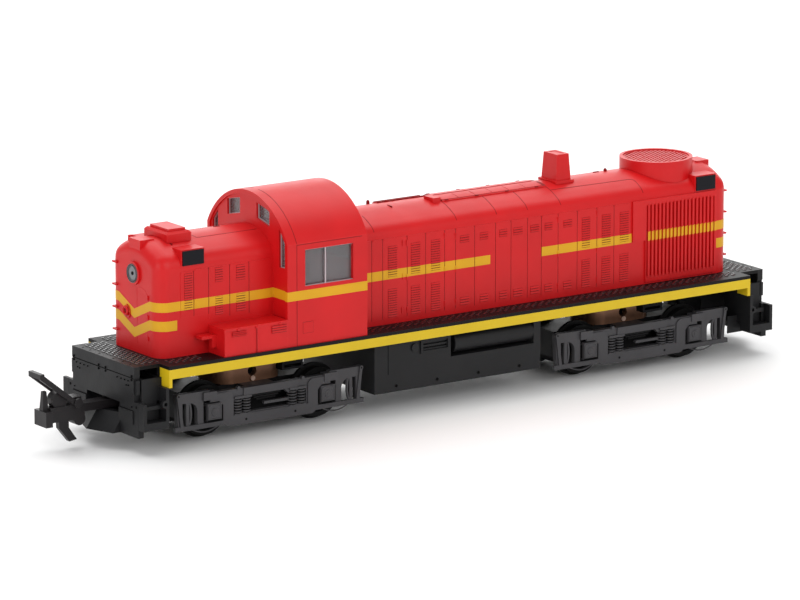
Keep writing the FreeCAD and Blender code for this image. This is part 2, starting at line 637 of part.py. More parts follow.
def underframe():
    high = "deck_top - deck_thick"
    beam = box("beam", ("-beam_reach", "beam_reach"), ("-beam_half", "beam_half"), ("beam_low", high))
    bores = []
    for end in (1, -1):
        start = (truck_centre(end), "0", "tower_top")
        bores.append(rod(f"beam_bore_{end}", "z", "pivot_radius + running_gap", start,
                         "pivot_length + pivot_room"))
    loops = []
    for name, place in (("front", "front_loop"), ("rear", "-rear_loop")):
        ends = (f"{place} - loop_half", f"{place} + loop_half")
        frame = box(name + "_loop", ends, ("beam_half", "loop_out"), ("beam_low - loop_drop", high))
        hole = box(name + "_loop_hole", (f"{ends[0]} + loop_bar", f"{ends[1]} - loop_bar"),
                   ("beam_half - 1", "loop_out + 1"), ("beam_low - loop_drop + loop_bar", "beam_low"))
        loops.append(both_sides(name + "_loops", cut(name + "_loop_open", frame, hole)))
    make_node("main_beam", fuse("main_beam_shape", cut("beam_bored", beam, *bores), *loops))


def tank():
    high = "deck_top - deck_thick - sill_high"
    section = [("-tank_half", "tank_low"), ("tank_half", "tank_low"), ("tank_half", high),
               ("beam_half", high),
               ("beam_half", "beam_low"), ("-beam_half", "beam_low"), ("-beam_half", high),
               ("-tank_half", high)]
    block = prism("tank", "YZ", section, "-tank_rear", "tank_front")
    recess = box("tank_recess", ("-recess_rear", "recess_front"),
                 ("tank_half - recess_deep", "tank_half + 1"),
                 ("recess_low", "deck_top"))
    niche = box("louvre_niche", ("louvre_rear + louvre_rim", "louvre_front - louvre_rim"),
                ("tank_half - louvre_deep", "tank_half + 1"),
                ("louvre_low + louvre_rim", "louvre_top - louvre_rim"))
    rim = box("louvre_box", ("louvre_rear", "louvre_front"),
              ("tank_half - louvre_deep - lap", "tank_half + louvre_proud"),
              ("louvre_low", "louvre_top"))
    slats = []
    for i in (1, 2, 3):
        height = f"louvre_low + {i} * (louvre_top - louvre_low) / 4"
        slats.append(box(f"louvre_slat_{i}",
                         ("louvre_rear + louvre_rim / 2", "louvre_front - louvre_rim / 2"),
                         ("tank_half - louvre_deep - lap / 2", "tank_half"),
                         (f"{height} - louvre_slat / 2", f"{height} + louvre_slat / 2")))
    reservoir = rod("reservoir", "x", "reservoir_radius",
                    ("-recess_rear", "tank_half - reservoir_radius",
                     "recess_low + reservoir_foot + reservoir_radius"),
                    "recess_rear + reservoir_front")
    fitting = rod("tank_fitting", "y", "fitting_radius",
                  ("cap_place", "tank_half - lap", "(louvre_low + louvre_top) / 2"),
                  "fitting_proud + lap")
    cuts = both_sides("tank_cuts", fuse("tank_cut", recess, niche))
    extras = both_sides("tank_extras",
                        fuse("tank_extra", cut("louvre_frame", rim, niche), reservoir, fitting, *slats))
    make_node("fuel_tank", fuse("tank_shape", cut("tank_open", block, cuts), extras))


def pilots():
    half = [("gate_half", "pilot_low"), ("skirt_half", "pilot_low"), ("skirt_half", "skirt_top"),
            ("pilot_half", "skirt_top"), ("pilot_half", "coping_low"), ("platform_half", "coping_low"),
            ("platform_half", "deck_top")]
    corners = half + mirrored(half) + [("-gate_half", "gate_top"), ("gate_half", "gate_top")]
    plate = prism("pilot", "YZ", corners, "pilot_face - pilot_thick", "pilot_face")
    lug = box("pilot_lug", ("pilot_face - lug_back", "pilot_face - lug_back + lug_thick"),
              ("pilot_half - lap", "pilot_half + lug_reach"),
              ("lug_low", "lug_high"))

    def plow_outline(nose):
        sides = f"{nose} - plow_sweep"
        return [("pilot_face - pilot_thick", "-gate_half - lap"), (sides, "-gate_half - lap"),
                (nose, "0"),
                (sides, "gate_half + lap"), ("pilot_face - pilot_thick", "gate_half + lap")]

    foot = "pilot_face + plow_reach"
    plow = taper("plow", "XY", plow_outline(foot), plow_outline(foot + " - plow_rake"), "pilot_low",
                 "plow_top")
    both_ends("pilot", plate, plow, both_sides("pilot_lugs", lug))


def steps():
    inner, outer = "platform_half + 0.1", "deck_half"
    x_in, x_out = "deck_reach + 0.1", "pilot_face"
    high = "deck_top - deck_thick - sill_high"
    behind = (x_in, "pilot_face - pilot_thick")
    back_post = box("step_back_post", (x_in, f"{x_in} + step_plate"), (inner, outer),
                    ("step_low", high + " - sill_drop"))
    front_post = box("step_front_post", (f"{x_out} - step_plate", x_out), ("skirt_half + 0.1", outer),
                     ("step_low", "skirt_top"))
    bulkhead = box("step_bulkhead", (x_in, f"{x_in} + step_wall"), ("gate_half", f"{inner} + lap"),
                   ("step_low + step_riser", high))
    wall = box("step_wall", behind, (inner, f"{inner} + step_wall"), ("step_low", high))
    riser = ("step_low", "step_low + step_riser")
    low_tread = box("step_low", behind, (inner, outer), riser)
    low_rim = box("step_low_rim", (x_in, x_out), ("skirt_half + 0.1", outer), riser)
    mid_tread = box("step_mid", behind, (inner, f"{outer} - step_back"),
                    ("step_mid", "step_mid + step_plate"))
    eye = rod("step_eye", "y", "eye_radius",
              (f"{x_in} + eye_radius", f"{outer} - step_plate", "eye_height"),
              "step_plate")
    hole = rod("step_eye_hole", "y", "eye_hole", (f"{x_in} + eye_radius", f"{outer} - 5", "eye_height"),
               "6")
    one = cut("step_box",
              fuse("step_solid", back_post, front_post, bulkhead, wall, low_tread, low_rim, mid_tread, eye),
              hole)
    both_ends("steps", one, mirror("step_box_mirror", one, Vector(0, 1, 0)))


# ---------------------------------------------------------------- hoods
def hood(name, low_x, high_x, end_x):
    """Straight sides, a rounded shoulder each side, a crowned roof and rounded end corners."""
    inset, rise = "hood_half - shoulder_inset", "hood_crown - hood_shoulder"
    crown_radius = f"(({inset})^2 + ({rise})^2) / (2 * ({rise}))"
    section = [("-hood_half", "deck_top"), ("hood_half", "deck_top"),
               ("hood_half", "hood_spring", "shoulder_radius"),
               (inset, "hood_shoulder", crown_radius),
               (f"-({inset})", "hood_shoulder", "shoulder_radius"),
               ("-hood_half", "hood_spring")]
    body = prism(name + "_shell", "YZ", section, low_x, high_x)

    def at_end(edge):
        bounds = edge.BoundBox
        on_face = near(bounds.XMin, end_x) and near(bounds.XMax, end_x)
        return on_face and not (near(bounds.ZMin, "deck_top") and near(bounds.ZMax, "deck_top"))

    round_edges(body, name + "_nose", "nose_round", at_end)
    inside = rectangle((f"{low_x} + hood_wall", f"{high_x} - hood_wall"),
                       ("-hood_half + hood_wall", "hood_half - hood_wall"))
    pocket(body, name + "_inside", "XY", inside, "deck_top", "hood_shoulder - hood_roof")
    return body


def board_span(place):
    return f"{place} - board_half", f"{place} + board_half"


def end_fittings(name, face, direction, board_place):
    """Number-board housings, headlight visor and headlight bezel of a hood."""
    low, high = board_span(board_place)
    housing = box(name + "_housing", (f"{low} - board_rim", f"{high} + board_rim"),
                  ("hood_half / 2", "hood_half + 0.1"),
                  ("board_low - board_rim", "board_low + board_height + board_rim"))
    ends = (f"{face} - {direction} * visor_back", f"{face} - {direction} * visor_set")
    visor = box(name + "_visor", ends if direction > 0 else ends[::-1], ("-visor_half", "visor_half"),
                ("visor_low", "visor_top"))
    start = f"{face} - 0.3" if direction > 0 else f"{face} - bezel_depth"
    ring = rod(name + "_bezel", "x", "lamp_radius + running_gap + bezel_wide",
               (start, "0", "lamp_height"),
               "bezel_depth + 0.3")
    hole_start = face if direction > 0 else f"{face} - 2"
    hole = rod(name + "_bezel_hole", "x", "lamp_radius + running_gap", (hole_start, "0", "lamp_height"),
               "2")
    bezel = cut(name + "_bezel_ring", ring, hole)
    return [both_sides(name + "_housings", housing), visor, bezel]


def hoods():
    front = [hood("short", "cab_front", "short_hood_front", "short_hood_front")]
    front += end_fittings("short", "short_hood_front", 1, "front_board")
    make_node("short_hood", fuse("short_hood_shape", *front))
    rear = [hood("long", "-long_hood_rear", "cab_rear", "-long_hood_rear")]
    rear += end_fittings("long", "-long_hood_rear", -1, "-rear_board")
    rear.append(box("roof_vent", ("vent_front - vent_length", "vent_front"),
                    ("vent_side", "vent_side + vent_width"),
                    ("hood_shoulder", "vent_top")))
    make_node("long_hood", fuse("long_hood_shape", *rear))
    return front, rear


def seated(name, piece, hood_pieces):
    """The piece cut to the hood's roof and set down on it."""
    return move(cut(name, piece, *hood_pieces), z="seat_gap")


def roof_pieces(front, rear):
    low = "hood_shoulder"
    base = prism("hatch", "XY", rectangle(("hatch_rear", "hatch_front"), ("-hatch_half", "hatch_half")),
                 low, "hatch_rim")
    round_edges(base, "hatch_bevel", "hatch_inset / 2",
                lambda edge: near(edge.BoundBox.ZMin, "hatch_rim"), "Chamfer")
    lid = box("hatch_lid", ("hatch_rear + hatch_inset", "hatch_front - hatch_inset"),
              ("hatch_inset - hatch_half", "hatch_half - hatch_inset"), (low, "hatch_top"))
    make_node("roof_hatch", seated("hatch_shape", fuse("hatch_solid", base, lid), front))

    def plan(half_x, half_y):
        return rectangle((f"-stack_place - {half_x}", f"-stack_place + {half_x}"), (f"-{half_y}", half_y))

    stack = taper("stack", "XY", plan("stack_foot_half", "stack_foot_side"),
                  plan("stack_top_half", "stack_top_side"),
                  low, "stack_top")
    flue = plan("(stack_top_half - flue_wall)", "(stack_top_side - flue_wall)")
    pocket(stack, "flue", "XY", flue, "stack_top - flue_deep", "stack_top")
    reach = "stack_flange"
    flange = box("stack_flange_plate",
                 (f"-stack_place - stack_foot_half - {reach}",
                  f"-stack_place + stack_foot_half + {reach}"),
                 (f"-stack_foot_side - {reach}", f"stack_foot_side + {reach}"),
                 (low, "hood_crown + flange_rise"))
    make_node("exhaust_stack", seated("stack_shape", fuse("stack_solid", stack, flange), rear))

    inside = "fan_radius - fan_wall"
    ring = rectangle((inside, "fan_radius"), ("hood_shoulder - hood_roof + 0.1", "fan_top"))
    drum = move(revolve("drum", "XZ", ring, "V_Axis"), "-fan_place")
    make_node("fan_drum", seated("drum_shape", drum, rear))

    top = "fan_top - grille_drop"
    low = f"{top} - grille_thick"
    rim = cut("grille_rim",
              rod("grille_out", "z", f"{inside} - running_gap", ("0", "0", low), "grille_thick"),
              rod("grille_in", "z", f"{inside} - grille_ring", ("0", "0", f"{low} - 1"),
                  "grille_thick + 2"))
    disc = rod("grille_disc", "z", f"{inside} - grille_ring / 2", ("0", "0", low), "grille_thick")
    slats = [box(f"slat_{i}", ("-fan_radius", "fan_radius"),
                 (f"{i} * slat_pitch - slat_width / 2", f"{i} * slat_pitch + slat_width / 2"), (low, top))
             for i in range(-7, 8)]
    grille = fuse("grille", rim, common("grille_slats", fuse("slat_rows", *slats), disc))
    grille.Placement = Placement(Vector(), Rotation(Vector(0, 0, 1), SLAT_ANGLE))
    make_node("fan_grille", move(grille, "-fan_place", "0", "seat_gap"))


def grab_iron(name, face, direction, height):
    """A bar across a hood's corner on two legs, one on the flat face and one on the rounding."""
    rounding = "nose_round - sqrt(nose_round^2 - (grab_out - grab_bar - hood_half + nose_round)^2)"
    pieces = []
    for part, depth, low, high in (("bar", "grab_bar - grab_reach", "grab_in", "grab_out"),
                                   ("inner_leg", "0", "grab_in", "grab_in + grab_bar"),
                                   ("outer_leg", rounding, "grab_out - grab_bar", "grab_out")):
        x = (f"{face} - ({depth})", f"{face} + grab_reach")
        y = (f"-({high})", f"-({low})")
        if direction < 0:
            x = (f"{face} - grab_reach", f"{face} + ({depth})")
            y = (low, high)
        pieces.append(box(f"{name}_{part}", x, y, (height, f"{height} + grab_bar")))
    return fuse(name, *pieces)


def hood_fittings():
    for name, face, direction, place in (("front", "short_hood_front", 1, "front_board"),
                                         ("rear", "-long_hood_rear", -1, "-rear_board")):
        ring_start = face if direction > 0 else f"{face} - lamp_depth"
        lens_start = face if direction > 0 else f"{face} - lens_depth"
        ring = rod(name + "_lamp", "x", "lamp_radius", (ring_start, "0", "lamp_height"), "lamp_depth")
        hole = rod(name + "_lamp_hole", "x", "lens_radius", (f"{face} - 2", "0", "lamp_height"), "4")
        lens = rod(name + "_lens", "x", "lens_radius + 0.1", (lens_start, "0", "lamp_height"),
                   "lens_depth")
        make_node(name + "_headlight", fuse(name + "_light", cut(name + "_lamp_ring", ring, hole), lens))
        grabs = [grab_iron(f"{name}_grab_{index}", face, direction, f"grab_low + {index} * grab_pitch")
                 for index in range(4)]
        make_node(name + "_grab_irons", fuse(name + "_grabs", *grabs))
        board = box(name + "_board", board_span(place),
                    ("hood_half + 0.1", "hood_half + 0.1 + board_thick"),
                    ("board_low", "board_low + board_height"))
        make_node(name + "_number_boards", both_sides(name + "_boards", board))


def radiators():
    face = "hood_half + radiator_plate"
    upper = box("radiator_upper", ("-radiator_rear", "-radiator_front"), ("hood_half", face),
                ("radiator_split", "hood_spring"))
    lower = box("radiator_lower", ("-radiator_rear", "-fins_front + fins_margin + lap"),
                ("hood_half", face),
                ("radiator_low", "radiator_split"))
    window = box("radiator_window", ("-fins_rear - fins_margin", "-fins_front + fins_margin"),
                 ("hood_half + radiator_back", face + " + 1"),
                 ("radiator_low + radiator_border", "hood_spring - radiator_border"))
    plate = cut("radiator_plate_shape", fuse("radiator_solid", upper, lower), window)
    count = int(size("(fins_rear - fins_front) / fin_pitch")) + 1
    fins = [box(f"radiator_fin_{i}",
                (f"-fins_front - {i} * fin_pitch - fin_width", f"-fins_front - {i} * fin_pitch"),
                ("hood_half", "hood_half + fin_depth"),
                ("radiator_low + radiator_border - lap", "hood_spring - radiator_border + lap"))
            for i in range(count)]
    make_node("radiator_fins", both_sides("radiators", fuse("radiator", plate, *fins)))


# ---------------------------------------------------------------- cab
def cab_arch(inset, low):
    """Outline of the cab across: straight sides from low and an arched roof, moved in by inset."""
    half, crown = f"(cab_half - ({inset}))", f"(cab_crown - ({inset}))"
    rise = f"({crown} - cab_spring)"
    top = [(half, "cab_spring", f"({half}^2 + {rise}^2) / (2 * {rise})"), (f"-{half}", "cab_spring")]
    return top if low is None else [(f"-{half}", low), (half, low)] + top


def end_windows():
    fall = "end_window_slope"
    square = [("end_window_in", "end_window_low"), ("end_window_out", f"end_window_low - {fall}"),
              ("end_window_out", f"end_window_top - {fall}"), ("end_window_in", "end_window_top")]
    tall = [("tall_window_in", "tall_window_low"), ("tall_window_out", "tall_window_low"),
            ("tall_window_out", "tall_window_top - tall_window_fall"),
            ("tall_window_in", "tall_window_top")]
    return {"square": square, "tall": tall, "far_square": mirrored(square), "far_tall": mirrored(tall)}


def cab():
    ends = ("cab_rear - cab_rim", "cab_front + cab_rim")
    roof = prism("roof", "YZ", cab_arch("0", None), *ends)
    pocket(roof, "roof_inside", "YZ", cab_arch("cab_wall", None), *ends)
    make_node("cab_roof", roof)

    side = prism("cab_side", "XZ", rectangle(ends, ("deck_top", "cab_spring")), "cab_half - cab_wall",
                 "cab_half")
    pocket(side, "side_window", "XZ",
           rectangle(("side_window_rear", "side_window_front"), ("side_window_low", "side_window_top")),
           "cab_half - cab_wall - 1", "cab_half + 1")
    make_node("cab_sides", both_sides("cab_sides_pair", side))

    walls = (("front", "cab_front - cab_wall", "cab_front"), ("rear", "cab_rear", "cab_rear + cab_wall"))
    for name, low, high in walls:
        wall = prism(name + "_wall", "YZ", cab_arch("cab_wall", "deck_top"), low, high)
        for kind, corners in end_windows().items():
            pocket(wall, f"{name}_{kind}", "YZ", corners, f"{low} - 1", f"{high} + 1")
        make_node("cab_" + name, wall)

    side_pane = box("side_pane", ("side_window_rear - pane_lap", "side_window_front + pane_lap"),
                    ("cab_half - cab_wall - pane_thick", "cab_half - cab_wall"),
                    ("side_window_low - pane_lap", "side_window_top + pane_lap"))
    bar = box("side_pane_bar", ("pane_bar_place - pane_bar / 2", "pane_bar_place + pane_bar / 2"),
              ("cab_half - cab_wall - lap", "cab_half - cab_wall + pane_bar_proud"),
              ("side_window_low + running_gap", "side_window_top - running_gap"))
    arch = cab_arch("cab_wall + 0.1", "tall_window_low - pane_lap")
    front_pane = prism("front_pane", "YZ", arch, "cab_front - cab_wall - pane_thick",
                       "cab_front - cab_wall")
    rear_pane = prism("rear_pane", "YZ", arch, "cab_rear + cab_wall", "cab_rear + cab_wall + pane_thick")
    make_node("cab_glazing", fuse("glazing", both_sides("side_panes", fuse("side_glass", side_pane, bar)),
                               front_pane, rear_pane))


def chests():
    """Battery boxes beside the short hood, each with a lid and a footrest at its front end."""
    rear = "cab_front + cab_rim"
    block = box("chest", (rear, "chest_front"), ("hood_half", "cab_half"),
                ("deck_top", "chest_top - chest_lid"))
    lid = box("chest_lid", (rear, "chest_front + chest_lap"), ("hood_half", "cab_half + chest_lap"),
              ("chest_top - chest_lid", "chest_top"))
    perch = box("perch", ("chest_front - lap", "perch_front"), ("hood_half + perch_in", "perch_out"),
                ("perch_high - perch_thick", "perch_high"))
    leg = box("perch_leg", ("chest_front - lap", "chest_front + bracket_long"),
              ("perch_out - bracket_wide", "perch_out"),
              ("perch_high - perch_thick - perch_leg", "perch_high"))
    make_node("battery_boxes", both_sides("chest_pair", fuse("chest_shape", block, lid, perch, leg)))


# ---------------------------------------------------------------- trucks
def wheelset(name, x, z):
    inner, outer = "back_to_back / 2", "(back_to_back / 2 + wheel_width)"
    flange, flange_radius = "(back_to_back / 2 + flange_width)", "tread_radius + flange_depth"
    rim, dish = "tread_radius - rim_width", f"({outer} - wheel_dish)"
    half = [("hub_radius", outer), ("hub_radius", dish), (rim, dish), (rim, outer),
            ("tread_radius", outer),
            ("tread_radius", flange), (flange_radius, flange), (flange_radius, inner),
            ("axle_radius", inner)]
    profile = [("0", outer)] + half + [(u, f"-({v})") for u, v in half[::-1]] + [("0", f"-{outer}")]
    wheels = revolve(name + "_turned", "XY", profile[::-1], "V_Axis")
    make_node(name, move(wheels, x, "0", z))


def sideframe(name):
    """A cast side with its springs, axleboxes and end hangers, about the truck's centre."""
    axle, through = "wheelbase / 2", ("frame_in - 1", "frame_out + 1")
    near_slot, head = f"{axle} - slot_half", f"{axle} + leg_over"
    edge = [("frame_belly", "frame_low", "belly_round"),
            ("frame_belly + belly_round", "frame_low + belly_round")]
    end = edge + [("frame_foot", "jaw_low"), ("frame_half", "frame_end_top"),
                  (head, "frame_end_top"), (head, "frame_top")]
    plate = prism(name + "_plate", "XZ", end + mirrored(end), "frame_in", "frame_out")
    slot = [(near_slot, "frame_low"), (f"{axle} + slot_half", "frame_low"),
            (f"{axle} + slot_half", "cap_low"), (f"{axle} - slot_step", "cap_low"),
            (f"{axle} - slot_step", "slot_top"), (near_slot + " + slot_bevel", "slot_top"),
            (near_slot, "slot_top - slot_bevel")]
    arch = [(f"{axle} + arch_near", "frame_low"), (f"{axle} + arch_far", "frame_low"),
            (f"{axle} + arch_far", "arch_top"), (f"{axle} + arch_near + arch_round", "arch_top",
                                                 "arch_round"),
            (f"{axle} + arch_near", "arch_top - arch_round")]
    bay = rectangle(("bay_near", "bay_far"), ("bay_low", "bay_top"))
    for part, outline in (("slot", slot), ("arch", arch), ("bay", bay)):
        pocket(plate, f"{name}_{part}", "XZ", outline, *through)
        pocket(plate, f"{name}_{part}_behind", "XZ", mirrored(outline), *through)
    window = [("-bay_near - lap", "window_low"), ("bay_near + lap", "window_low"),
              ("bay_near + lap", "window_top"), ("-bay_near + window_slant", "window_top"),
              ("-bay_near - lap", "window_top - window_slant")]
    pocket(plate, name + "_window", "XZ", window, *through)

    proud = ("frame_out - lap", "frame_out + leg_proud")
    leg = edge + [(near_slot, "jaw_low"), (near_slot, "slot_top - slot_bevel"),
                  (near_slot + " + slot_bevel", "slot_top"), (head, "slot_top"),
                  (head, "leg_top - leg_round", "leg_round"), (head + " - leg_round", "leg_top"),
                  (f"{axle} - leg_inner + leg_round", "leg_top", "leg_round"),
                  (f"{axle} - leg_inner", "leg_top - leg_round"), (f"{axle} - leg_inner", "rail_top")]
    legs = prism(name + "_legs", "XZ", leg + mirrored(leg), *proud)
    chord = box(name + "_chord", ("-chord_half", "chord_half"), proud, ("chord_low", "frame_top"))
    plank = box(name + "_plank", ("-bay_near - plank_past", "plank_end"),
                ("frame_in + lap", "frame_out - cap_proud"), ("plank_low", "plank_low + plank_thick"))
    carrier = box(name + "_carrier", ("-arm_half", "arm_half"), ("gearcase_side", "frame_in"),
                  ("gearcase_top - arm_thick", "gearcase_top"))

    shoe = f"({axle} + shoe_place)"
    ends = [box(name + "_axlebox", (f"{axle} - axlebox_half", f"{axle} + axlebox_half"),
                ("frame_in", "frame_out + axlebox_proud"), ("axlebox_low", "axlebox_top")),
            box(name + "_guide", (f"{near_slot} - lap / 2", f"{axle} + slot_half + lap / 2"),
                ("frame_in", "frame_out - guide_sunk"),
                ("axlebox_low + guide_sunk", "axlebox_top - guide_sunk")),
            box(name + "_cap", (f"{axle} + cap_shift - cap_half", f"{axle} + cap_shift + cap_half"),
                ("frame_in", "frame_out + cap_reach"), ("cap_low", "cap_top")),
            box(name + "_tie", (f"{axle} - tie_near", f"{axle} + tie_far"),
                ("frame_out - tie_sunk", "frame_out + cap_proud"), ("tie_low", "jaw_low + lap / 2")),
            box(name + "_shoe", (f"{shoe} - shoe_width / 2", f"{shoe} + shoe_width / 2"),
                ("frame_out - shoe_thick", "frame_out"), ("jaw_low", "shoe_top"))]
    ends += [rod(f"{name}_{place}", "z", "spring_radius",
                 (place, "frame_out + spring_proud - spring_radius", "bay_low - lap"),
                 "bay_top - bay_low + 2 * lap") for place in ("spring_inner", "spring_outer")]
    half = fuse(name + "_end", *ends)
    return fuse(name + "_shape", plate, legs, chord, plank, carrier, half,
                other_end(name + "_other_end", half))


def truck(name, end):
    centre = truck_centre(end)
    axles = [(f"({centre} + wheelbase / 2)", 1), (f"({centre} - wheelbase / 2)", -1)]
    axle_height = "tread_radius + flange_depth"
    case = prism(name + "_case", "XZ",
                 rectangle(("-gearcase_half", "gearcase_half"), ("gearcase_low", "gearcase_top")),
                 "-gearcase_side", "gearcase_side")
    round_edges(case, name + "_case_bevel", "gearcase_bevel",
                lambda edge: near(edge.BoundBox.ZMax, "gearcase_low") and edge.BoundBox.XLength < 1,
                "Chamfer")
    bores = [rod(f"{name}_case_bore_{sign}", "y", "axle_radius + running_gap",
                 (x, "-gearcase_side - 1", axle_height),
                 "2 * gearcase_side + 2") for x, sign in axles]
    make_node(name + "_gearcase", cut(name + "_case_shape", move(case, centre), *bores))

    tower = prism(name + "_tower", "XY",
                  rectangle(("-tower_half", "tower_half"), ("-tower_side", "tower_side")),
                  "gearcase_top", "tower_top")
    round_edges(tower, name + "_tower_corners", "tower_round",
                lambda edge: near(edge.BoundBox.ZLength, "tower_top - gearcase_top"))
    pin = rod(name + "_pin", "z", "pivot_radius", (centre, "0", "tower_top - 1"), "1 + pivot_length")
    hole_height = "tower_top - tower_hole_margin - tower_hole"
    hole = rod(name + "_tower_hole", "y", "tower_hole",
               (centre, "tower_side - tower_hole_deep", hole_height),
               "tower_hole_deep + 1")
    peg_height = f"{hole_height} - tower_hole - tower_peg"
    peg = rod(name + "_peg", "y", "tower_peg", (centre, "tower_side - 1", peg_height), "1 + peg_reach")
    solid = fuse(name + "_tower_solid", move(tower, centre), pin, both_sides(name + "_pegs", peg))
    make_node(name + "_turret",
              cut(name + "_turret_shape", solid, both_sides(name + "_tower_holes", hole)))

    side = move(sideframe(name + "_side"), centre)
    make_node(name + "_sideframes", both_sides(name + "_sides", side))
    for index, (x, _) in enumerate(axles, start=1):
        wheelset(f"{name}_wheelset_{index}", x, axle_height)


# ---------------------------------------------------------------- coupler
def coupler():
    shell = box("pocket", ("pocket_rear", "pocket_front"), ("-pocket_half", "pocket_half"),
                ("pocket_low", "beam_low"))
    room = box("pocket_room", ("pocket_rear + pocket_wall", "pocket_front + 1"),
               ("pocket_wall - pocket_half", "pocket_half - pocket_wall"),
               ("pocket_low + pocket_wall", "pocket_roof"))
    pin = rod("pocket_pin", "z", "pin_radius", ("pin_place", "0", "pocket_low + 0.2"),
              "pocket_roof - pocket_low")
    both_ends("coupler_box", cut("pocket_open", shell, room), pin)

    side = ("-shank_half", "shank_half")
    shank = box("shank", ("shank_rear", "plate_front - plate_thick"), side, ("shank_low", "shank_high"))
    head = box("shank_head", ("head_rear", "plate_front - plate_thick"), side, ("head_low", "shank_high"))
    plate = box("shank_plate", ("plate_front - plate_thick", "plate_front"),
                ("-plate_half", "plate_half"),
                ("plate_low", "plate_high"))
    foot = rectangle(("hook_place - hook_foot", "hook_place + hook_foot"), ("-hook_foot", "hook_foot"))
    tip = rectangle(("hook_place - hook_tip", "hook_place + hook_tip"), ("-hook_tip", "hook_tip"))
    hook = taper("hook", "XY", foot, tip, "plate_high - lap", "hook_top")
    lobe = rod("shank_lobe", "y", "lobe_radius", ("lobe_place", "-shank_half", "head_low"),
               "2 * shank_half")
    horn = rod("shank_horn", "y", "horn_radius", ("horn_place", "-horn_half", "horn_height"),
               "2 * horn_half")
    cheeks = box("shank_cheeks", ("loop_pivot_place - cheek_half", "loop_pivot_place + cheek_half"), side,
                 ("shank_low", "loop_pivot_height + cheek_rise"))
    trip = prism("trip", "XZ", [("head_rear + 1.6", "trip_low + 0.3"), ("head_rear + 3.6", "trip_low"),
                                ("horn_place - 0.1", "head_low - 1.8"), ("horn_place", "head_low + 0.3"),
                                ("horn_place - 2.7", "head_low + 0.3"),
                                ("horn_place - 2.7", "head_low - 1.9")],
                 "-trip_half", "trip_half")
    eye = rod("shank_eye", "z", "pin_radius + running_gap", ("pin_place", "0", "shank_low - 1"), "4")
    bore = rod("shank_bore", "y", "loop_pivot_radius + running_gap",
               ("loop_pivot_place", "-3", "loop_pivot_height"), "6")
    solid = fuse("shank_solid", shank, head, plate, hook, lobe, horn, cheeks, trip)
    make_node("coupler_shank", cut("coupler_shank_shape", solid, eye, bore))

    pivot = rod("loop_pivot", "y", "loop_pivot_radius",
                ("loop_pivot_place", "-loop_out_face", "loop_pivot_height"),
                "2 * loop_out_face")
    arm = prism("loop_arm", "XZ", [("loop_pivot_place - loop_eye", "loop_pivot_height - loop_eye / 2"),
                                   ("loop_pivot_place + loop_eye / 2", "loop_pivot_height - loop_eye"),
                                   ("coupler_tip", "loop_top - loop_bar_high"),
                                   ("coupler_tip", "loop_top"),
                                   ("coupler_tip - loop_deep / 2", "loop_top")], "loop_in",
                "loop_out_face")
    bar = box("loop_bar", ("coupler_tip - loop_deep", "coupler_tip"), ("-loop_out_face", "loop_out_face"),
              ("loop_top - loop_bar_high", "loop_top"))
    make_node("coupler_loop", fuse("coupler_loop_shape", pivot, bar, both_sides("loop_arms", arm)))


walkway()
underframe()
tank()
pilots()
steps()
front_hood, rear_hood = hoods()
roof_pieces(front_hood, rear_hood)
hood_fittings()
radiators()
cab()
chests()
make_node("motor_block", box("motor", ("-motor_rear", "motor_front"), ("-motor_half", "motor_half"),
                             ("deck_top", "motor_top")))
truck("front_truck", 1)
truck("rear_truck", -1)
coupler()

doc.recompute()
for obj in doc.Objects:
    if {"Invalid", "Error"} & set(obj.State):
        raise ValueError(f"{obj.Name} failed: {obj.State}")
for obj in nodes:
    if obj.Shape.isNull() or not obj.Shape.isValid():
        raise ValueError(obj.Label + " has no valid shape")

os.makedirs("parts", exist_ok=True)
for obj in nodes:
    obj.Shape.exportStep(f"parts/{obj.Label}.step")
    print(f"{obj.Label}: {len(obj.Shape.Solids)} solids, {obj.Shape.Volume:.1f} mm3")
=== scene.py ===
import json
import math
import bmesh
import bpy
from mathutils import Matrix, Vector


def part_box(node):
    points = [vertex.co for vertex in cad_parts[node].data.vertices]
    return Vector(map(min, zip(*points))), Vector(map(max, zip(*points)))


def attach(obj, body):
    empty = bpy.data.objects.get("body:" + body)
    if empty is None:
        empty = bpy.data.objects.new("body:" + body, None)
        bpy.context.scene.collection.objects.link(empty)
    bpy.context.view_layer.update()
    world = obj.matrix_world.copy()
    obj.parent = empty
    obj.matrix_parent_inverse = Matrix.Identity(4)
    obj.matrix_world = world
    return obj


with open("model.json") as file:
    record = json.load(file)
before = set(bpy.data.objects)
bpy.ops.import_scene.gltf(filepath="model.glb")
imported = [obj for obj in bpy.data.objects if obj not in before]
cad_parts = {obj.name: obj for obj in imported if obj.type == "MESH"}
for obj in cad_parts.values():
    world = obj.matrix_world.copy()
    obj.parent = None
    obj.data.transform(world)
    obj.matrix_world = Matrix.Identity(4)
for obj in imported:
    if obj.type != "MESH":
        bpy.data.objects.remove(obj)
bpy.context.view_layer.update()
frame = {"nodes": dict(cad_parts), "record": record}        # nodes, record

# All places below are in millimetres. x is measured from midway between the trucks, towards the
# short hood; y is measured from the middle to the left; z from the floor under the flanges.
MM = 0.001
gear_boxes = [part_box(end + "_truck_gearcase") for end in ("front", "rear")]
MIDDLE = sum(low.x + high.x for low, high in gear_boxes) / 4
TRUCKS = {end + "_truck": ((low.x + high.x) / 2 - MIDDLE) / MM
          for end, (low, high) in zip(("front", "rear"), gear_boxes)}


def span(node):
    """Lowest and highest corner of a CAD node, in millimetres."""
    low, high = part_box(node)
    shift = Vector((MIDDLE, 0, 0))
    return (low - shift) / MM, (high - shift) / MM


def at(x, y, z):
    return Vector((MIDDLE + x * MM, y * MM, z * MM))


# ---------------------------------------------------------------- materials
WEAR_AND_HIGHLIGHT_REACH = 0.14    # how far in from an edge the wear and the painted highlight go
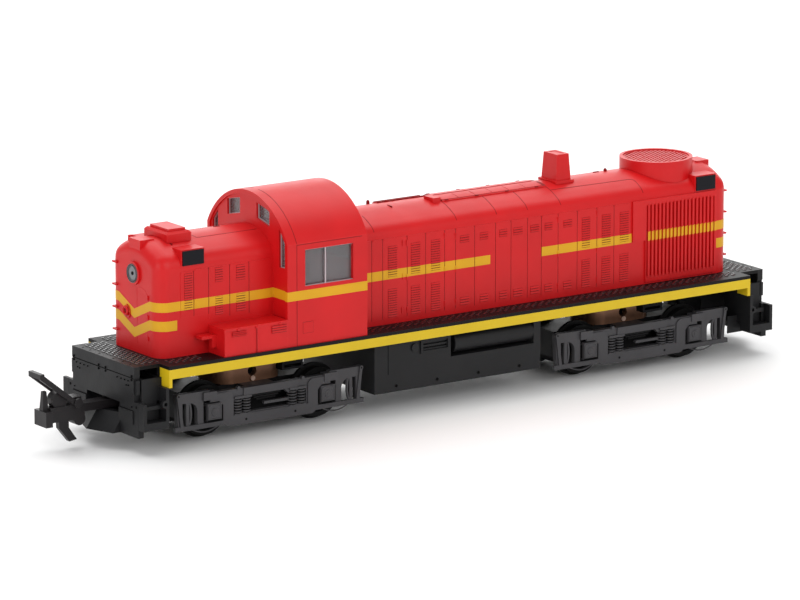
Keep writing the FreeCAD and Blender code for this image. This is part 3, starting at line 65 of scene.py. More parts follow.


def surface(name, colour, rough, metal=0.0, grain=0.02, grain_size=0.35, mottle=0.06,
            mottle_size=9.0, rough_swing=0.08, coat=0.0, gleam=0.5, transmission=0.0, streak=None,
            wear_and_highlight=0.25):
    """A moulded or painted surface: fine grain in the bump, slow changes of colour and gloss,
    and edges paler, partly from wear and partly as a painted highlight. Grain and mottle sizes
    are in millimetres; gleam is the specular level, and streak stretches the mottle along an axis."""
    mat = bpy.data.materials.new(name)
    mat.use_nodes = True
    nodes, links = mat.node_tree.nodes, mat.node_tree.links
    shader = nodes["Principled BSDF"]
    shader.inputs["Metallic"].default_value = metal
    shader.inputs["IOR"].default_value = 1.45
    shader.inputs["Specular IOR Level"].default_value = gleam
    shader.inputs["Coat Weight"].default_value = coat
    shader.inputs["Coat Roughness"].default_value = 0.25
    shader.inputs["Transmission Weight"].default_value = transmission
    place = nodes.new("ShaderNodeTexCoord")
    source = place.outputs["Object"]
    if streak:
        stretch = nodes.new("ShaderNodeMapping")
        stretch.inputs["Scale"].default_value = streak
        links.new(source, stretch.inputs["Vector"])
        source = stretch.outputs["Vector"]

    def noise(size, detail):
        node = nodes.new("ShaderNodeTexNoise")
        node.inputs["Scale"].default_value = 1 / (size * MM)
        node.inputs["Detail"].default_value = detail
        links.new(source, node.inputs["Vector"])
        return node.outputs["Fac"]

    ramp = nodes.new("ShaderNodeValToRGB")
    ramp.color_ramp.elements[0].position = 0.3
    ramp.color_ramp.elements[1].position = 0.7
    ramp.color_ramp.elements[0].color = (*[c * (1 - mottle) for c in colour], 1)
    ramp.color_ramp.elements[1].color = (*[min(1, c * (1 + mottle)) for c in colour], 1)
    links.new(noise(mottle_size, 3), ramp.inputs["Fac"])
    tint = ramp.outputs["Color"]
    # edges paler: partly wear, partly a painted highlight that the edges would catch
    if wear_and_highlight:
        edge = nodes.new("ShaderNodeBevel")
        edge.samples = 4
        edge.inputs["Radius"].default_value = WEAR_AND_HIGHLIGHT_REACH * MM
        flat = nodes.new("ShaderNodeNewGeometry")
        match = nodes.new("ShaderNodeVectorMath")
        match.operation = "DOT_PRODUCT"
        links.new(edge.outputs["Normal"], match.inputs[0])
        links.new(flat.outputs["Normal"], match.inputs[1])
        wear_and_highlight_mask = nodes.new("ShaderNodeMapRange")
        wear_and_highlight_mask.inputs["From Min"].default_value = 0.99
        wear_and_highlight_mask.inputs["From Max"].default_value = 0.75
        wear_and_highlight_mask.inputs["To Max"].default_value = wear_and_highlight
        links.new(match.outputs["Value"], wear_and_highlight_mask.inputs["Value"])
        pale = nodes.new("ShaderNodeMix")
        pale.data_type = "RGBA"
        pale.inputs["B"].default_value = (*[min(1, c * 1.4 + 0.06) for c in colour], 1)
        links.new(wear_and_highlight_mask.outputs["Result"], pale.inputs["Factor"])
        links.new(tint, pale.inputs["A"])
        tint = pale.outputs["Result"]
    links.new(tint, shader.inputs["Base Color"])
    gloss = nodes.new("ShaderNodeMapRange")
    gloss.inputs["To Min"].default_value = rough - rough_swing
    gloss.inputs["To Max"].default_value = rough + rough_swing
    links.new(noise(mottle_size * 0.4, 4), gloss.inputs["Value"])
    links.new(gloss.outputs["Result"], shader.inputs["Roughness"])
    bump = nodes.new("ShaderNodeBump")
    bump.inputs["Strength"].default_value = 0.6
    bump.inputs["Distance"].default_value = grain * MM
    links.new(noise(grain_size, 2), bump.inputs["Height"])
    links.new(bump.outputs["Normal"], shader.inputs["Normal"])
    return mat


# name: colour, roughness, and what differs from a plain moulding
FINISHES = {
    "red_paint": ((0.6, 0.006, 0.008), 0.4, dict(gleam=0.36, mottle=0.05, grain=0.012)),
    "stripe_paint": ((0.7, 0.36, 0.01), 0.45, dict(gleam=0.3, mottle=0.04, grain=0.012)),
    "yellow_paint": ((0.66, 0.46, 0.01), 0.42, dict(gleam=0.35, mottle=0.04, grain=0.012)),
    # dark red and dark yellow: seams between doors, and painted shade behind the slats of louvres
    # and vents
    "seam_and_shade_red": ((0.24, 0.003, 0.004), 0.6, dict(gleam=0.3, wear_and_highlight=0)),
    "seam_and_shade_yellow": ((0.16, 0.05, 0.003), 0.6, dict(gleam=0.3, wear_and_highlight=0)),
    "black_plastic": ((0.004, 0.0035, 0.004), 0.5, dict(gleam=0.22, grain=0.03)),
    "tread_black": ((0.02, 0.018, 0.02), 0.16,
                    dict(gleam=1.0, grain=0.01, rough_swing=0.04, coat=0.4, wear_and_highlight=0.1)),
    "grey_plastic": ((0.010, 0.010, 0.011), 0.5, dict(gleam=0.32, grain=0.03, mottle=0.12)),
    "truck_grey": ((0.05, 0.048, 0.052), 0.48, dict(gleam=0.42, grain=0.03, mottle=0.12)),
    "chassis_metal": ((0.004, 0.004, 0.005), 0.55, dict(metal=0.2, gleam=0.12, grain=0.04)),
    "copper": ((0.3, 0.15, 0.09), 0.38, dict(metal=0.6, mottle=0.2, streak=(0.15, 0.15, 2))),
    "contact": ((0.9, 0.62, 0.5), 0.3, dict(metal=0.3)),
    "wheel_metal": ((0.010, 0.010, 0.010), 0.42, dict(metal=0.3, gleam=0.15)),
    "lamp": ((0.16, 0.16, 0.17), 0.3, dict(coat=0.4, mottle=0.1, mottle_size=1.0)),
    "lamp_ring": ((0.012, 0.012, 0.014), 0.4, {}),
    "board_black": ((0.003, 0.003, 0.006), 0.4, dict(gleam=0.22)),
    "window_glass": ((0.6, 0.57, 0.59), 0.16,
                     dict(transmission=0.85, grain=0.004, rough_swing=0.05, wear_and_highlight=0)),
    "window_frame": ((0.5, 0.4, 0.42), 0.35, {}),
    "coupler_black": ((0.009, 0.007, 0.008), 0.42, dict(gleam=0.4, grain=0.03)),
    # near black: dark seams, and painted shade as discs and strips in holes, gaps, coils and under
    # edges
    "seam_and_shade_black": ((0.002, 0.002, 0.002), 0.9, dict(gleam=0.1, wear_and_highlight=0)),
}
MATERIALS = {name: surface(name, colour, rough, **rest)
             for name, (colour, rough, rest) in FINISHES.items()}
for row in frame["record"]["subparts"]:
    node = frame["nodes"][row["node"]]
    node.data.materials.clear()
    node.data.materials.append(MATERIALS[row["material_slot"]])


# ---------------------------------------------------------------- mesh building
BEVEL_FROM = 40    # degrees; blunter edges are not rounded


def circle(sides):
    """The angles of a circle's points."""
    return [2 * math.pi * i / sides for i in range(sides)]


def out(face, side, *depths):
    """Places at depths out of a face that looks along side, the lowest first."""
    return sorted(face + side * depth for depth in depths)


class Piece:
    """A piece under construction; every form in it is swept through loops of equal length."""

    def __init__(self, *materials):
        self.mesh = bmesh.new()
        self.materials = materials

    def sweep(self, loops, closed=False, paint=0):
        rings = [[self.mesh.verts.new(at(*point)) for point in loop] for loop in loops]
        count = len(rings[0])
        following = rings[1:] + (rings[:1] if closed else [])
        faces = []
        for ring, after in zip(rings, following):
            for i in range(count):
                j = (i + 1) % count
                faces.append(self.mesh.faces.new((ring[i], ring[j], after[j], after[i])))
        if not closed:
            faces.append(self.mesh.faces.new(rings[0][::-1]))
            faces.append(self.mesh.faces.new(rings[-1]))
        for face in faces:
            face.material_index = paint

    def block(self, x, y, z, paint=0):
        corners = [(x[0], y[0]), (x[1], y[0]), (x[1], y[1]), (x[0], y[1])]
        self.sweep([[(*corner, height) for corner in corners] for height in z], paint=paint)

    def rod(self, start, end, radius, sides=12, paint=0, end_radius=None):
        """A round bar, or a cone with an end radius."""
        start, end = Vector(start), Vector(end)
        along = (end - start).normalized()
        across = along.orthogonal().normalized()
        up = along.cross(across)
        loops = []
        for centre, size in ((start, radius), (end, radius if end_radius is None else end_radius)):
            loops.append([tuple(centre + size * (math.cos(t) * across + math.sin(t) * up))
                          for t in circle(sides)])
        self.sweep(loops, paint=paint)

    def tube(self, path, radius, sides=8, closed=False, paint=0):
        """A round wire along a path of points."""
        points = [Vector(p) for p in path]
        loops = []
        for i, point in enumerate(points):
            before = points[i - 1] if i or closed else point
            after = points[(i + 1) % len(points)] if closed or i + 1 < len(points) else point
            along = (after - before).normalized()
            across = along.cross(Vector((0.02, 0.99, 0.03))).normalized()
            up = along.cross(across)
            loops.append([tuple(point + radius * (math.cos(t) * across + math.sin(t) * up))
                          for t in circle(sides)])
        self.sweep(loops, closed=closed, paint=paint)

    def ring(self, centre, axis, radius, wire, turns=24, sides=8, paint=0):
        """A closed wire ring about the x, y or z axis."""
        path = []
        for angle in circle(turns):
            u, v = radius * math.cos(angle), radius * math.sin(angle)
            path.append({"x": (0, u, v), "y": (u, 0, v), "z": (u, v, 0)}[axis])
        points = [Vector(centre) + Vector(p) for p in path]
        normal = Vector({"x": (1, 0, 0), "y": (0, 1, 0), "z": (0, 0, 1)}[axis])
        loops = []
        for point in points:
            outward = (point - Vector(centre)).normalized()
            loops.append([tuple(point + wire * (math.cos(t) * outward + math.sin(t) * normal))
                          for t in circle(sides)])
        self.sweep(loops, closed=True, paint=paint)

    def finish(self, name, body, slot, bevel=0.0, angle=35):
        """Make the object: edges sharper than angle degrees are shaded sharp, and those sharper
        than BEVEL_FROM are rounded over a width of bevel."""
        bmesh.ops.recalc_face_normals(self.mesh, faces=self.mesh.faces)
        data = bpy.data.meshes.new(name)
        self.mesh.to_mesh(data)
        self.mesh.free()
        for material in self.materials:
            data.materials.append(MATERIALS[material])
        data.shade_smooth()
        data.set_sharp_from_angle(angle=math.radians(angle))
        obj = bpy.data.objects.new(name, data)
        bpy.context.scene.collection.objects.link(obj)
        if bevel:
            edge = obj.modifiers.new("edge", "BEVEL")
            edge.width = bevel * MM
            edge.segments = 2
            edge.limit_method = "ANGLE"
            edge.angle_limit = math.radians(BEVEL_FROM)
        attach(obj, body)
        return obj


# ---------------------------------------------------------------- outlines of the shell
cab_low, cab_high = span("cab_sides")
cab_roof_high = span("cab_roof")[1]
DECK = span("walkway_deck")[1].z
CAB_SIDE = cab_high.y
CAB_FRONT, CAB_REAR = span("cab_front")[1].x, span("cab_rear")[0].x
NOSE = span("front_headlight")[0].x
TAIL = span("rear_headlight")[1].x
HOOD_SIDE = 10.4
NOSE_ROUND = 3.2    # radius of a hood's end corners in plan
# a hood's roof: an arc over the middle as far out as INSET, then a rounded shoulder to the side
CROWN, SHOULDER, SPRING, INSET, SHOULDER_ROUND = 46.6, 44.3, 41.1, 8.2, 3.9
STRIPE = (31.1, 33.3)
LOWER_STRIPE = (26.6, 28.95)    # the second stripe, at the hoods' ends


def roof_height(y):
    """Height of a hood's roof at y."""
    y = abs(y)
    rise = CROWN - SHOULDER
    crown_round = (INSET ** 2 + rise ** 2) / (2 * rise)
    if y <= INSET:
        return CROWN - crown_round + math.sqrt(crown_round ** 2 - y * y)
    chord = Vector((INSET - HOOD_SIDE, SHOULDER - SPRING))
    middle = Vector((HOOD_SIDE + INSET, SPRING + SHOULDER)) / 2
    inward = Vector((-chord.y, chord.x)).normalized()
    centre = middle + inward * math.sqrt(SHOULDER_ROUND ** 2 - chord.length_squared / 4)
    return centre.y + math.sqrt(max(SHOULDER_ROUND ** 2 - (y - centre.x) ** 2, 0))


def ribbon(piece, path, low, high, thick=0.05, base=0.0, paint=0):
    """A thin band of paint that stands on a path of (x, y, outward x, outward y) in plan."""
    loops = []
    for x, y, nx, ny in path:
        bottom, top = low(x, y), high(x, y)
        inner = (x + nx * base, y + ny * base)
        outer = (x + nx * (base + thick), y + ny * (base + thick))
        loops.append([(*inner, bottom), (*outer, bottom), (*outer, top), (*inner, top)])
    piece.sweep(loops, paint=paint)


def corner(x, y, sign_x, sign_y, first, last, steps=8):
    """Plan points round a hood's end corner, from angle first to angle last in degrees."""
    centre = (x - sign_x * NOSE_ROUND, y - sign_y * NOSE_ROUND)
    points = []
    for i in range(steps + 1):
        turn = math.radians(first + (last - first) * i / steps)
        nx, ny = sign_x * math.cos(turn), sign_y * math.sin(turn)
        points.append((centre[0] + NOSE_ROUND * nx, centre[1] + NOSE_ROUND * ny, nx, ny))
    return points


# ---------------------------------------------------------------- stripes
V_HALF = 6.7    # half width of the V on a hood's end
V_DROP = 2.9    # depth of the V


def dipped(level):
    """An edge of a V stripe: its height at a place in plan."""
    return lambda x, y: level - V_DROP * max(0.0, 1 - abs(y) / V_HALF)


def end_stripe(piece, face, sign, far_upper, far_lower):
    """The two V stripes across a hood's end, round its corners and along its sides."""
    for (low, high), reach in ((STRIPE, far_upper), (LOWER_STRIPE, far_lower)):
        left, right = ([(reach, side * HOOD_SIDE, 0, side)]
                       + corner(face, side * HOOD_SIDE, sign, side, 90, 0) for side in (1, -1))
        middle = [(face, y, sign, 0) for y in (V_HALF, 4.5, 2.2, 0, -2.2, -4.5, -V_HALF)]
        ribbon(piece, left + middle + right[::-1], dipped(low), dipped(high))


PANEL = 0.1    # how far a hood's door stands proud
stripes = Piece("stripe_paint")
end_stripe(stripes, NOSE, 1, 76.2, 76.95)
end_stripe(stripes, TAIL, -1, -78.2, -78.2)
CAB_RIM = CAB_SIDE - 1    # inner edge of the cab sides' front and rear ends
for side in (1, -1):
    # round the cab from the short hood to the long one: start, end, and the way the face looks
    for x0, y0, x1, y1, nx, ny in ((CAB_FRONT, HOOD_SIDE, CAB_FRONT, CAB_RIM, 1, 0),
                                   (cab_high.x, CAB_RIM, cab_high.x, CAB_SIDE, 1, 0),
                                   (cab_high.x, CAB_SIDE, cab_low.x, CAB_SIDE, 0, side),
                                   (cab_low.x, CAB_SIDE, cab_low.x, CAB_RIM, -1, 0),
                                   (CAB_REAR, CAB_RIM, CAB_REAR, HOOD_SIDE, -1, 0)):
        ribbon(stripes, [(x0, side * y0, nx, ny), (x1, side * y1, nx, ny)],
               lambda x, y: STRIPE[0], lambda x, y: STRIPE[1])

# ---------------------------------------------------------------- doors and louvres of the hoods
PITCH = 0.56               # of the louvres
SEAM = 0.18                # width of the gaps between doors
BARE = (-25.95, -10.92)    # the long hood's doors that the stripe leaves out
SLIVER = 0.05              # a shorter span is dropped
DOOR_CUT = 0.35            # bevel of a door's upper corners
ROOT = -0.05               # how deep a thin form starts inside the face that carries it
FLUSH = (ROOT, 0.02)       # a seam on a face, and a dark plate of painted shade on it
PAINT = (-0.02, 0.03)      # a stripe on a face
PAINT_ON_DOOR = (PANEL - 0.02, PANEL + 0.03)
# a slat: its share of the pitch, the gap above it, how far it stands off, and its slope
SLAT_SHARE, SLAT_GAP, SLAT_OFF, SLAT_SLOPE = 0.6, 0.15, 0.06, 0.45
# (front edge, rear edge, underside, top) of each door
SHORT_DOORS = [(76.0, 72.5, 29.4, 40.0), (72.3, 68.45, 29.4, 40.3), (68.25, 62.7, 28.2, 40.3),
               (62.5, 57.4, 28.2, 40.3), (57.2, 51.4, 28.2, 40.3)]
LONG_SEAMS = [28.0, 23.05, 19.95, 12.98, 7.7, 2.25, -0.9, -6.4, -12.47, -16.98, -21.8, -25.9,
              -30.8, -36.46, -42.3, -47.4, -52.3]
LONG_DOORS = [(a - SEAM / 2, b + SEAM / 2, 21.6, 40.9) for a, b in zip(LONG_SEAMS, LONG_SEAMS[1:])]
# (front edge, rear edge, underside, top) of each set of louvres
SHORT_LOUVRES = [(74.97, 72.8, 31.0, 39.6), (66.53, 64.49, 36.6, 40.0), (66.53, 64.49, 28.9, 33.2),
                 (60.79, 58.32, 36.3, 39.9), (60.79, 58.32, 29.0, 33.1)]
# (front edge, rear edge) of the long hood's tall and small sets; each has an upper and a lower one
TALL = [(18.4, 15.84), (11.86, 9.28), (6.14, 3.56), (-37.88, -40.25), (-43.82, -46.4),
        (-49.19, -51.8)]
SMALL = [(-2.2, -4.8), (-7.98, -10.3), (-13.6, -15.82), (-17.7, -20.3), (-22.7, -25.2),
         (-26.9, -29.1), (-32.4, -34.8)]
LONG_LOUVRES = [(front, rear, low, high)
                for places, heights in ((TALL, ((31.6, 39.0), (21.9, 28.7))),
                                        (SMALL, ((37.25, 39.05), (22.2, 24.1))))
                for front, rear in places for low, high in heights]
HOODS = (("short", SHORT_DOORS, SHORT_LOUVRES), ("long", LONG_DOORS, LONG_LOUVRES))


def banded(low, high):
    """A range of heights split at the stripe's edges, with 1 for the part under the stripe."""
    cuts = [low] + [edge for edge in STRIPE if low < edge < high] + [high]
    return [(a, b, int(STRIPE[0] < (a + b) / 2 < STRIPE[1])) for a, b in zip(cuts, cuts[1:])]


def without(spans, gaps):
    """Spans with gaps taken out of them."""
    for gap_low, gap_high in gaps:
        parts = [part for low, high in spans
                 for part in ((low, min(high, gap_low)), (max(low, gap_high), high))]
        spans = [(low, high) for low, high in parts if high - low > SLIVER]
    return spans


def striped(edges):
    """Whether a set of louvres reaches the stripe."""
    return edges[2] < STRIPE[1] and edges[3] > STRIPE[0]


def bare(x):
    """Whether a place on the long hood is where the stripe is left out."""
    return BARE[0] < x < BARE[1]


def door(piece, side, edges):
    """A raised door with bevelled upper corners."""
    front, rear, low, high = edges
    outline = [(rear, low), (front, low), (front, high - DOOR_CUT), (front - DOOR_CUT, high),
               (rear + DOOR_CUT, high), (rear, high - DOOR_CUT)]
    piece.sweep([[(x, side * (HOOD_SIDE + proud), z) for x, z in outline]
                 for proud in (ROOT, PANEL)])


def skin(piece, side, x, z, depth, plain):
    """A thin dark plate on a hood's side, yellowish under the stripe unless it is plain: a seam
    between doors, and painted shade behind louvre slats.
    """
    for low, high, painted in banded(*z):
        piece.block(x, out(side * HOOD_SIDE, side, *depth), (low, high),
                    paint=3 if painted and not plain else 2)


def louvres(piece, side, edges):
    """Slats that lean out downwards over a dark plate of painted shade for the opening behind them.
    """
    front, rear, low, high = edges
    plain = bare(rear)
    skin(piece, side, (rear, front), (low, high), (PANEL - 0.05, PANEL + 0.02), plain)
    count = max(2, round((high - low) / PITCH))
    step = (high - low) / count
    for i in range(count):
        top = high - (i + SLAT_GAP) * step
        for a, b, painted in banded(top - step * SLAT_SHARE, top):
            section = [(z, PANEL + SLAT_OFF + SLAT_SLOPE * (top - z)) for z in (b, a)]
            section += [(a, PANEL), (b, PANEL)]
            piece.sweep([[(x, side * (HOOD_SIDE + proud), z) for z, proud in section]
                         for x in (front, rear)], paint=int(painted and not plain))


for side in (1, -1):
    face = side * HOOD_SIDE
    for _, leaves, sets in HOODS:
        under = [(edges[1], edges[0]) for edges in sets if striped(edges)]
        for x in without([(leaf[1], leaf[0]) for leaf in leaves], under + [BARE]):
            stripes.block(x, out(face, side, *PAINT_ON_DOOR), STRIPE)
        for edges in sets:
            if striped(edges) and not bare(edges[1]):
                for z in without([STRIPE], [edges[2:]]):
                    stripes.block((edges[1], edges[0]), out(face, side, *PAINT_ON_DOOR), z)
    # between the doors and what stands at their ends
    for x in ((SHORT_DOORS[0][0], 76.3), (CAB_FRONT, SHORT_DOORS[-1][1]),
              (LONG_SEAMS[0], CAB_REAR), (-52.75, LONG_SEAMS[-1])):
        stripes.block(x, out(face, side, *PAINT), STRIPE)
for name, leaves, sets in HOODS:
    panels = Piece("red_paint")
    vents = Piece("red_paint", "stripe_paint", "seam_and_shade_red", "seam_and_shade_yellow")
    for side in (1, -1):
        for leaf in leaves:
            door(panels, side, leaf)
        for leaf, after in zip(leaves, leaves[1:]):
            middle = (leaf[1] + after[0]) / 2
            skin(vents, side, (middle - SEAM / 2, middle + SEAM / 2),
                 (leaf[2], min(leaf[3], after[3])), (ROOT, 0.03), bare(middle))
        for edges in sets:
            louvres(vents, side, edges)
    panels.finish(name + "_hood_doors", "locomotive", "red_paint")
    vents.finish(name + "_hood_louvres", "locomotive", "red_paint")

# stripe across the edges of the radiator's fins, on its rear plate and between the fins
fin_low, fin_high = span("radiator_fins")
FIN_PITCH, FIN_WIDTH, FIN_FRONT, FIN_COUNT = 1.12, 0.5, -57.2, 18
PLATE_PROUD, PLATE_FRONT, BED_PROUD = 0.5, -77.5, 0.35
for side in (1, -1):
    for i in range(FIN_COUNT):
        front = FIN_FRONT - i * FIN_PITCH
        stripes.block((front - FIN_WIDTH, front), out(side * fin_high.y, side, 0, PAINT[1]), STRIPE)
    plate = side * (HOOD_SIDE + PLATE_PROUD)
    stripes.block((fin_low.x, PLATE_FRONT), out(plate, side, 0, PAINT[1]), STRIPE)
    stripes.block((FIN_FRONT - FIN_COUNT * FIN_PITCH, FIN_FRONT),
                  out(side * HOOD_SIDE, side, PAINT[0], BED_PROUD), STRIPE)
stripes.finish("stripes", "locomotive", "yellow_paint")

# hinges and latches: (x, height)
LATCHES = [(14.28, 39.3), (13.14, 39.2), (14.26, 31.3), (13.12, 31.0), (14.5, 23.2), (13.0, 23.1),
           (2.27, 39.5), (-0.9, 39.1), (2.25, 31.4), (-0.9, 31.2), (2.27, 23.2), (-0.9, 23.1),
           (-30.8, 39.4), (-30.8, 31.1), (-30.8, 23.2), (-42.35, 39.45), (-42.35, 30.6),
           (-42.35, 23.2)]
LATCH_HALF, LATCH_TALL = 0.14, 0.75           # half width and half height
KNOB_UP, KNOB_OUT, KNOB = 0.25, 0.3, 0.2      # place, length and radius of a latch's knob
latches = Piece("red_paint", "stripe_paint")
for side in (1, -1):
    face = side * (HOOD_SIDE + PANEL)
    for x, z in LATCHES:
        for low, high, painted in banded(z - LATCH_TALL, z + LATCH_TALL):
            latches.block((x - LATCH_HALF, x + LATCH_HALF), out(face, side, -0.1, 0.16),
                          (low, high), paint=painted)
        knob = z + KNOB_UP
        latches.rod((x, face, knob), (x, face + side * KNOB_OUT, knob), KNOB, sides=8,
                    paint=int(STRIPE[0] < knob < STRIPE[1]))
latches.finish("hood_latches", "locomotive", "red_paint", bevel=0.04)


# ---------------------------------------------------------------- roof seams, strips and lugs
def roof_line(piece, points, width=0.17, proud=0.03):
    """A fine line over a hood's roof through (x, y) points."""
    steps = []
    for (x0, y0), (x1, y1) in zip(points, points[1:]):
        # short steps across the roof's curve, long ones along it
        parts = max(1, int(max(abs(y1 - y0) / 0.2, abs(x1 - x0) / 6)))
        steps += [(x0 + (x1 - x0) * i / parts, y0 + (y1 - y0) * i / parts) for i in range(parts)]
    steps.append(points[-1])
    loops = []
    for index, (x, y) in enumerate(steps):
        x1, y1 = steps[min(index + 1, len(steps) - 1)]
        x0, y0 = steps[max(index - 1, 0)]
        along = Vector((x1 - x0, y1 - y0)).normalized() * width / 2
        left, right = (x - along.y, y + along.x), (x + along.y, y - along.x)
        loops.append([(*place, roof_height(place[1]) + lift) for place, lift in
                      ((left, ROOT), (left, proud), (right, proud), (right, ROOT))])
    piece.sweep(loops)


def roof_plate(piece, x, y, lift, paint=0):
    """A thin plate bent over a hood's roof."""
    steps = max(1, math.ceil((y[1] - y[0]) / 0.8))
    loops = []
    for i in range(steps + 1):
        across = y[0] + (y[1] - y[0]) * i / steps
        low, high = roof_height(across) - 0.1, roof_height(across) + lift
        loops.append([(x[0], across, low), (x[1], across, low), (x[1], across, high),
                      (x[0], across, high)])
    piece.sweep(loops, paint=paint)


# raised strip on the long hood's roof, with a row of hatch covers and of hinges along each side
STRIP, STRIP_HALF = (-32.0, -1.6), 3.95
STRIP_LIFT, GAP_LIFT, HATCH_LIFT = 0.3, 0.32, 0.42
HATCH_PITCH, HATCH_GAP, HATCH_IN, HATCH_OUT, HATCHES = 4.9, 0.2, 0.6, 3.6, 6
HINGE_FRONT, HINGE_PITCH, HINGE_SIDE, HINGES = -2.9, 8.75, 3.9, 4
HINGE_HALF, HINGE, HINGE_LIFT = 0.45, 0.18, 0.38      # half length, radius and height
roof = Piece("red_paint", "seam_and_shade_red")
roof_plate(roof, STRIP, (-STRIP_HALF, STRIP_HALF), STRIP_LIFT)
for side in (1, -1):
    roof_plate(roof, STRIP, out(0, side, HATCH_IN - 0.1, HATCH_OUT + 0.14), GAP_LIFT, paint=1)
    for i in range(HATCHES):
        front = STRIP[1] - 0.15 - i * HATCH_PITCH
        roof_plate(roof, (front - HATCH_PITCH + HATCH_GAP, front),
                   out(0, side, HATCH_IN, HATCH_OUT), HATCH_LIFT)
    for i in range(HINGES):
        x, y = HINGE_FRONT - HINGE_PITCH * i, side * HINGE_SIDE
        z = roof_height(y) + HINGE_LIFT
        roof.rod((x - HINGE_HALF, y, z), (x + HINGE_HALF, y, z), HINGE, sides=8, paint=1)
roof.finish("roof_hatches", "locomotive", "red_paint")

# low ribbed cover behind the cab
RIBS, RIB_FIRST, RIB_PITCH, RIB_HALF = 15, -0.2, 0.89, 0.1
comb = Piece("red_paint", "seam_and_shade_red")
roof_plate(comb, (-0.6, 12.6), (-4.6, -2.4), 0.28)
roof_plate(comb, (-0.7, 12.7), (-2.5, -2.35), 0.3, paint=1)
for i in range(RIBS):
    x = RIB_FIRST + i * RIB_PITCH
    roof_plate(comb, (x - RIB_HALF, x + RIB_HALF), (-4.5, -3.4), 0.48, paint=1)
comb.finish("roof_cover", "locomotive", "red_paint")

# (x, where it starts off the middle) of the seams across the long hood's roof
ROOF_SEAMS = ((22.0, 5.0), (-1.6, STRIP_HALF), (-13.2, STRIP_HALF), (-22.2, STRIP_HALF),
              (-32.0, 0.0))
SEAM_END = 9.9    # how far down a roof's shoulder a seam goes
seams = Piece("seam_and_shade_red")
for side in (1, -1):
    for x, start in ROOF_SEAMS:
        roof_line(seams, [(x, side * start), (x, side * SEAM_END)])
    bend = [(-55.3, 5.75), (-56.0, 5.9), (-56.4, 6.4), (-56.5, 7.2), (-56.5, SEAM_END)]
    roof_line(seams, [(-32.0, side * 5.5)] + [(x, side * y) for x, y in bend])
    roof_line(seams, [(67.9, side * 2.3), (67.4, side * 4.1), (50.9, side * 4.1)])
seams.finish("roof_seams", "locomotive", "red_paint")

# (x, y, half length, half width, height over the roof) of the lugs; the low ones are dark
LUGS = ((12.25, 2.2, 0.14, 0.95, 0.2), (-51.0, -1.8, 0.8, 0.22, 0.2),
        (58.3, -1.6, 0.8, 0.22, 0.15), (80.4, -3.9, 0.5, 0.3, 0.8), (75.2, 5.0, 0.14, 0.8, 0.12))
KNOBS = ((14.1, -4.2, 1.0), (-53.6, -1.6, 0.7))    # (x, y, height over the roof)
LUG_ROOT, LOW_LUG = 0.6, 0.21
KNOB_WIDE, KNOB_TIP, KNOB_NECK = 0.42, 0.22, 0.6   # radii, and the share below the taper
lugs = Piece("red_paint", "seam_and_shade_red")
for x, y, long_x, long_y, high in LUGS:
    height = roof_height(y)
    lugs.block((x - long_x, x + long_x), (y - long_y, y + long_y),
               (height - LUG_ROOT, height + high), paint=int(high < LOW_LUG))
for x, y, high in KNOBS:
    height = roof_height(y)
    neck = (x, y, height + high * KNOB_NECK)
    lugs.rod((x, y, height - LUG_ROOT), neck, KNOB_WIDE, sides=12, paint=1)
    lugs.rod(neck, (x, y, height + high), KNOB_WIDE, sides=12, end_radius=KNOB_TIP, paint=1)
# the stack's flue is closed just under its rim
stack_low, stack_high = span("exhaust_stack")
stack_middle = (stack_low.x + stack_high.x) / 2
lugs.block((stack_middle - 1.0, stack_middle + 1.0), (-1.95, 1.95),
           (stack_high.z - 0.7, stack_high.z - 0.1))
lugs.finish("roof_lugs", "locomotive", "red_paint", bevel=0.05)

# ---------------------------------------------------------------- ends of the hoods
LENS = [(1.7, -0.1), (1.55, 0.05), (1.1, 0.0), (0.8, 0.06), (0.5, 0.0)]    # (radius, depth)
LENS_SET, LAMP_RING, LAMP_WIRE, BULB = 0.28, 1.98, 0.2, 0.42
LEAF_LOW, HINGE_HEIGHTS, HINGE_TALL = 22.4, (24.4, 29.4, 34.0), 0.5
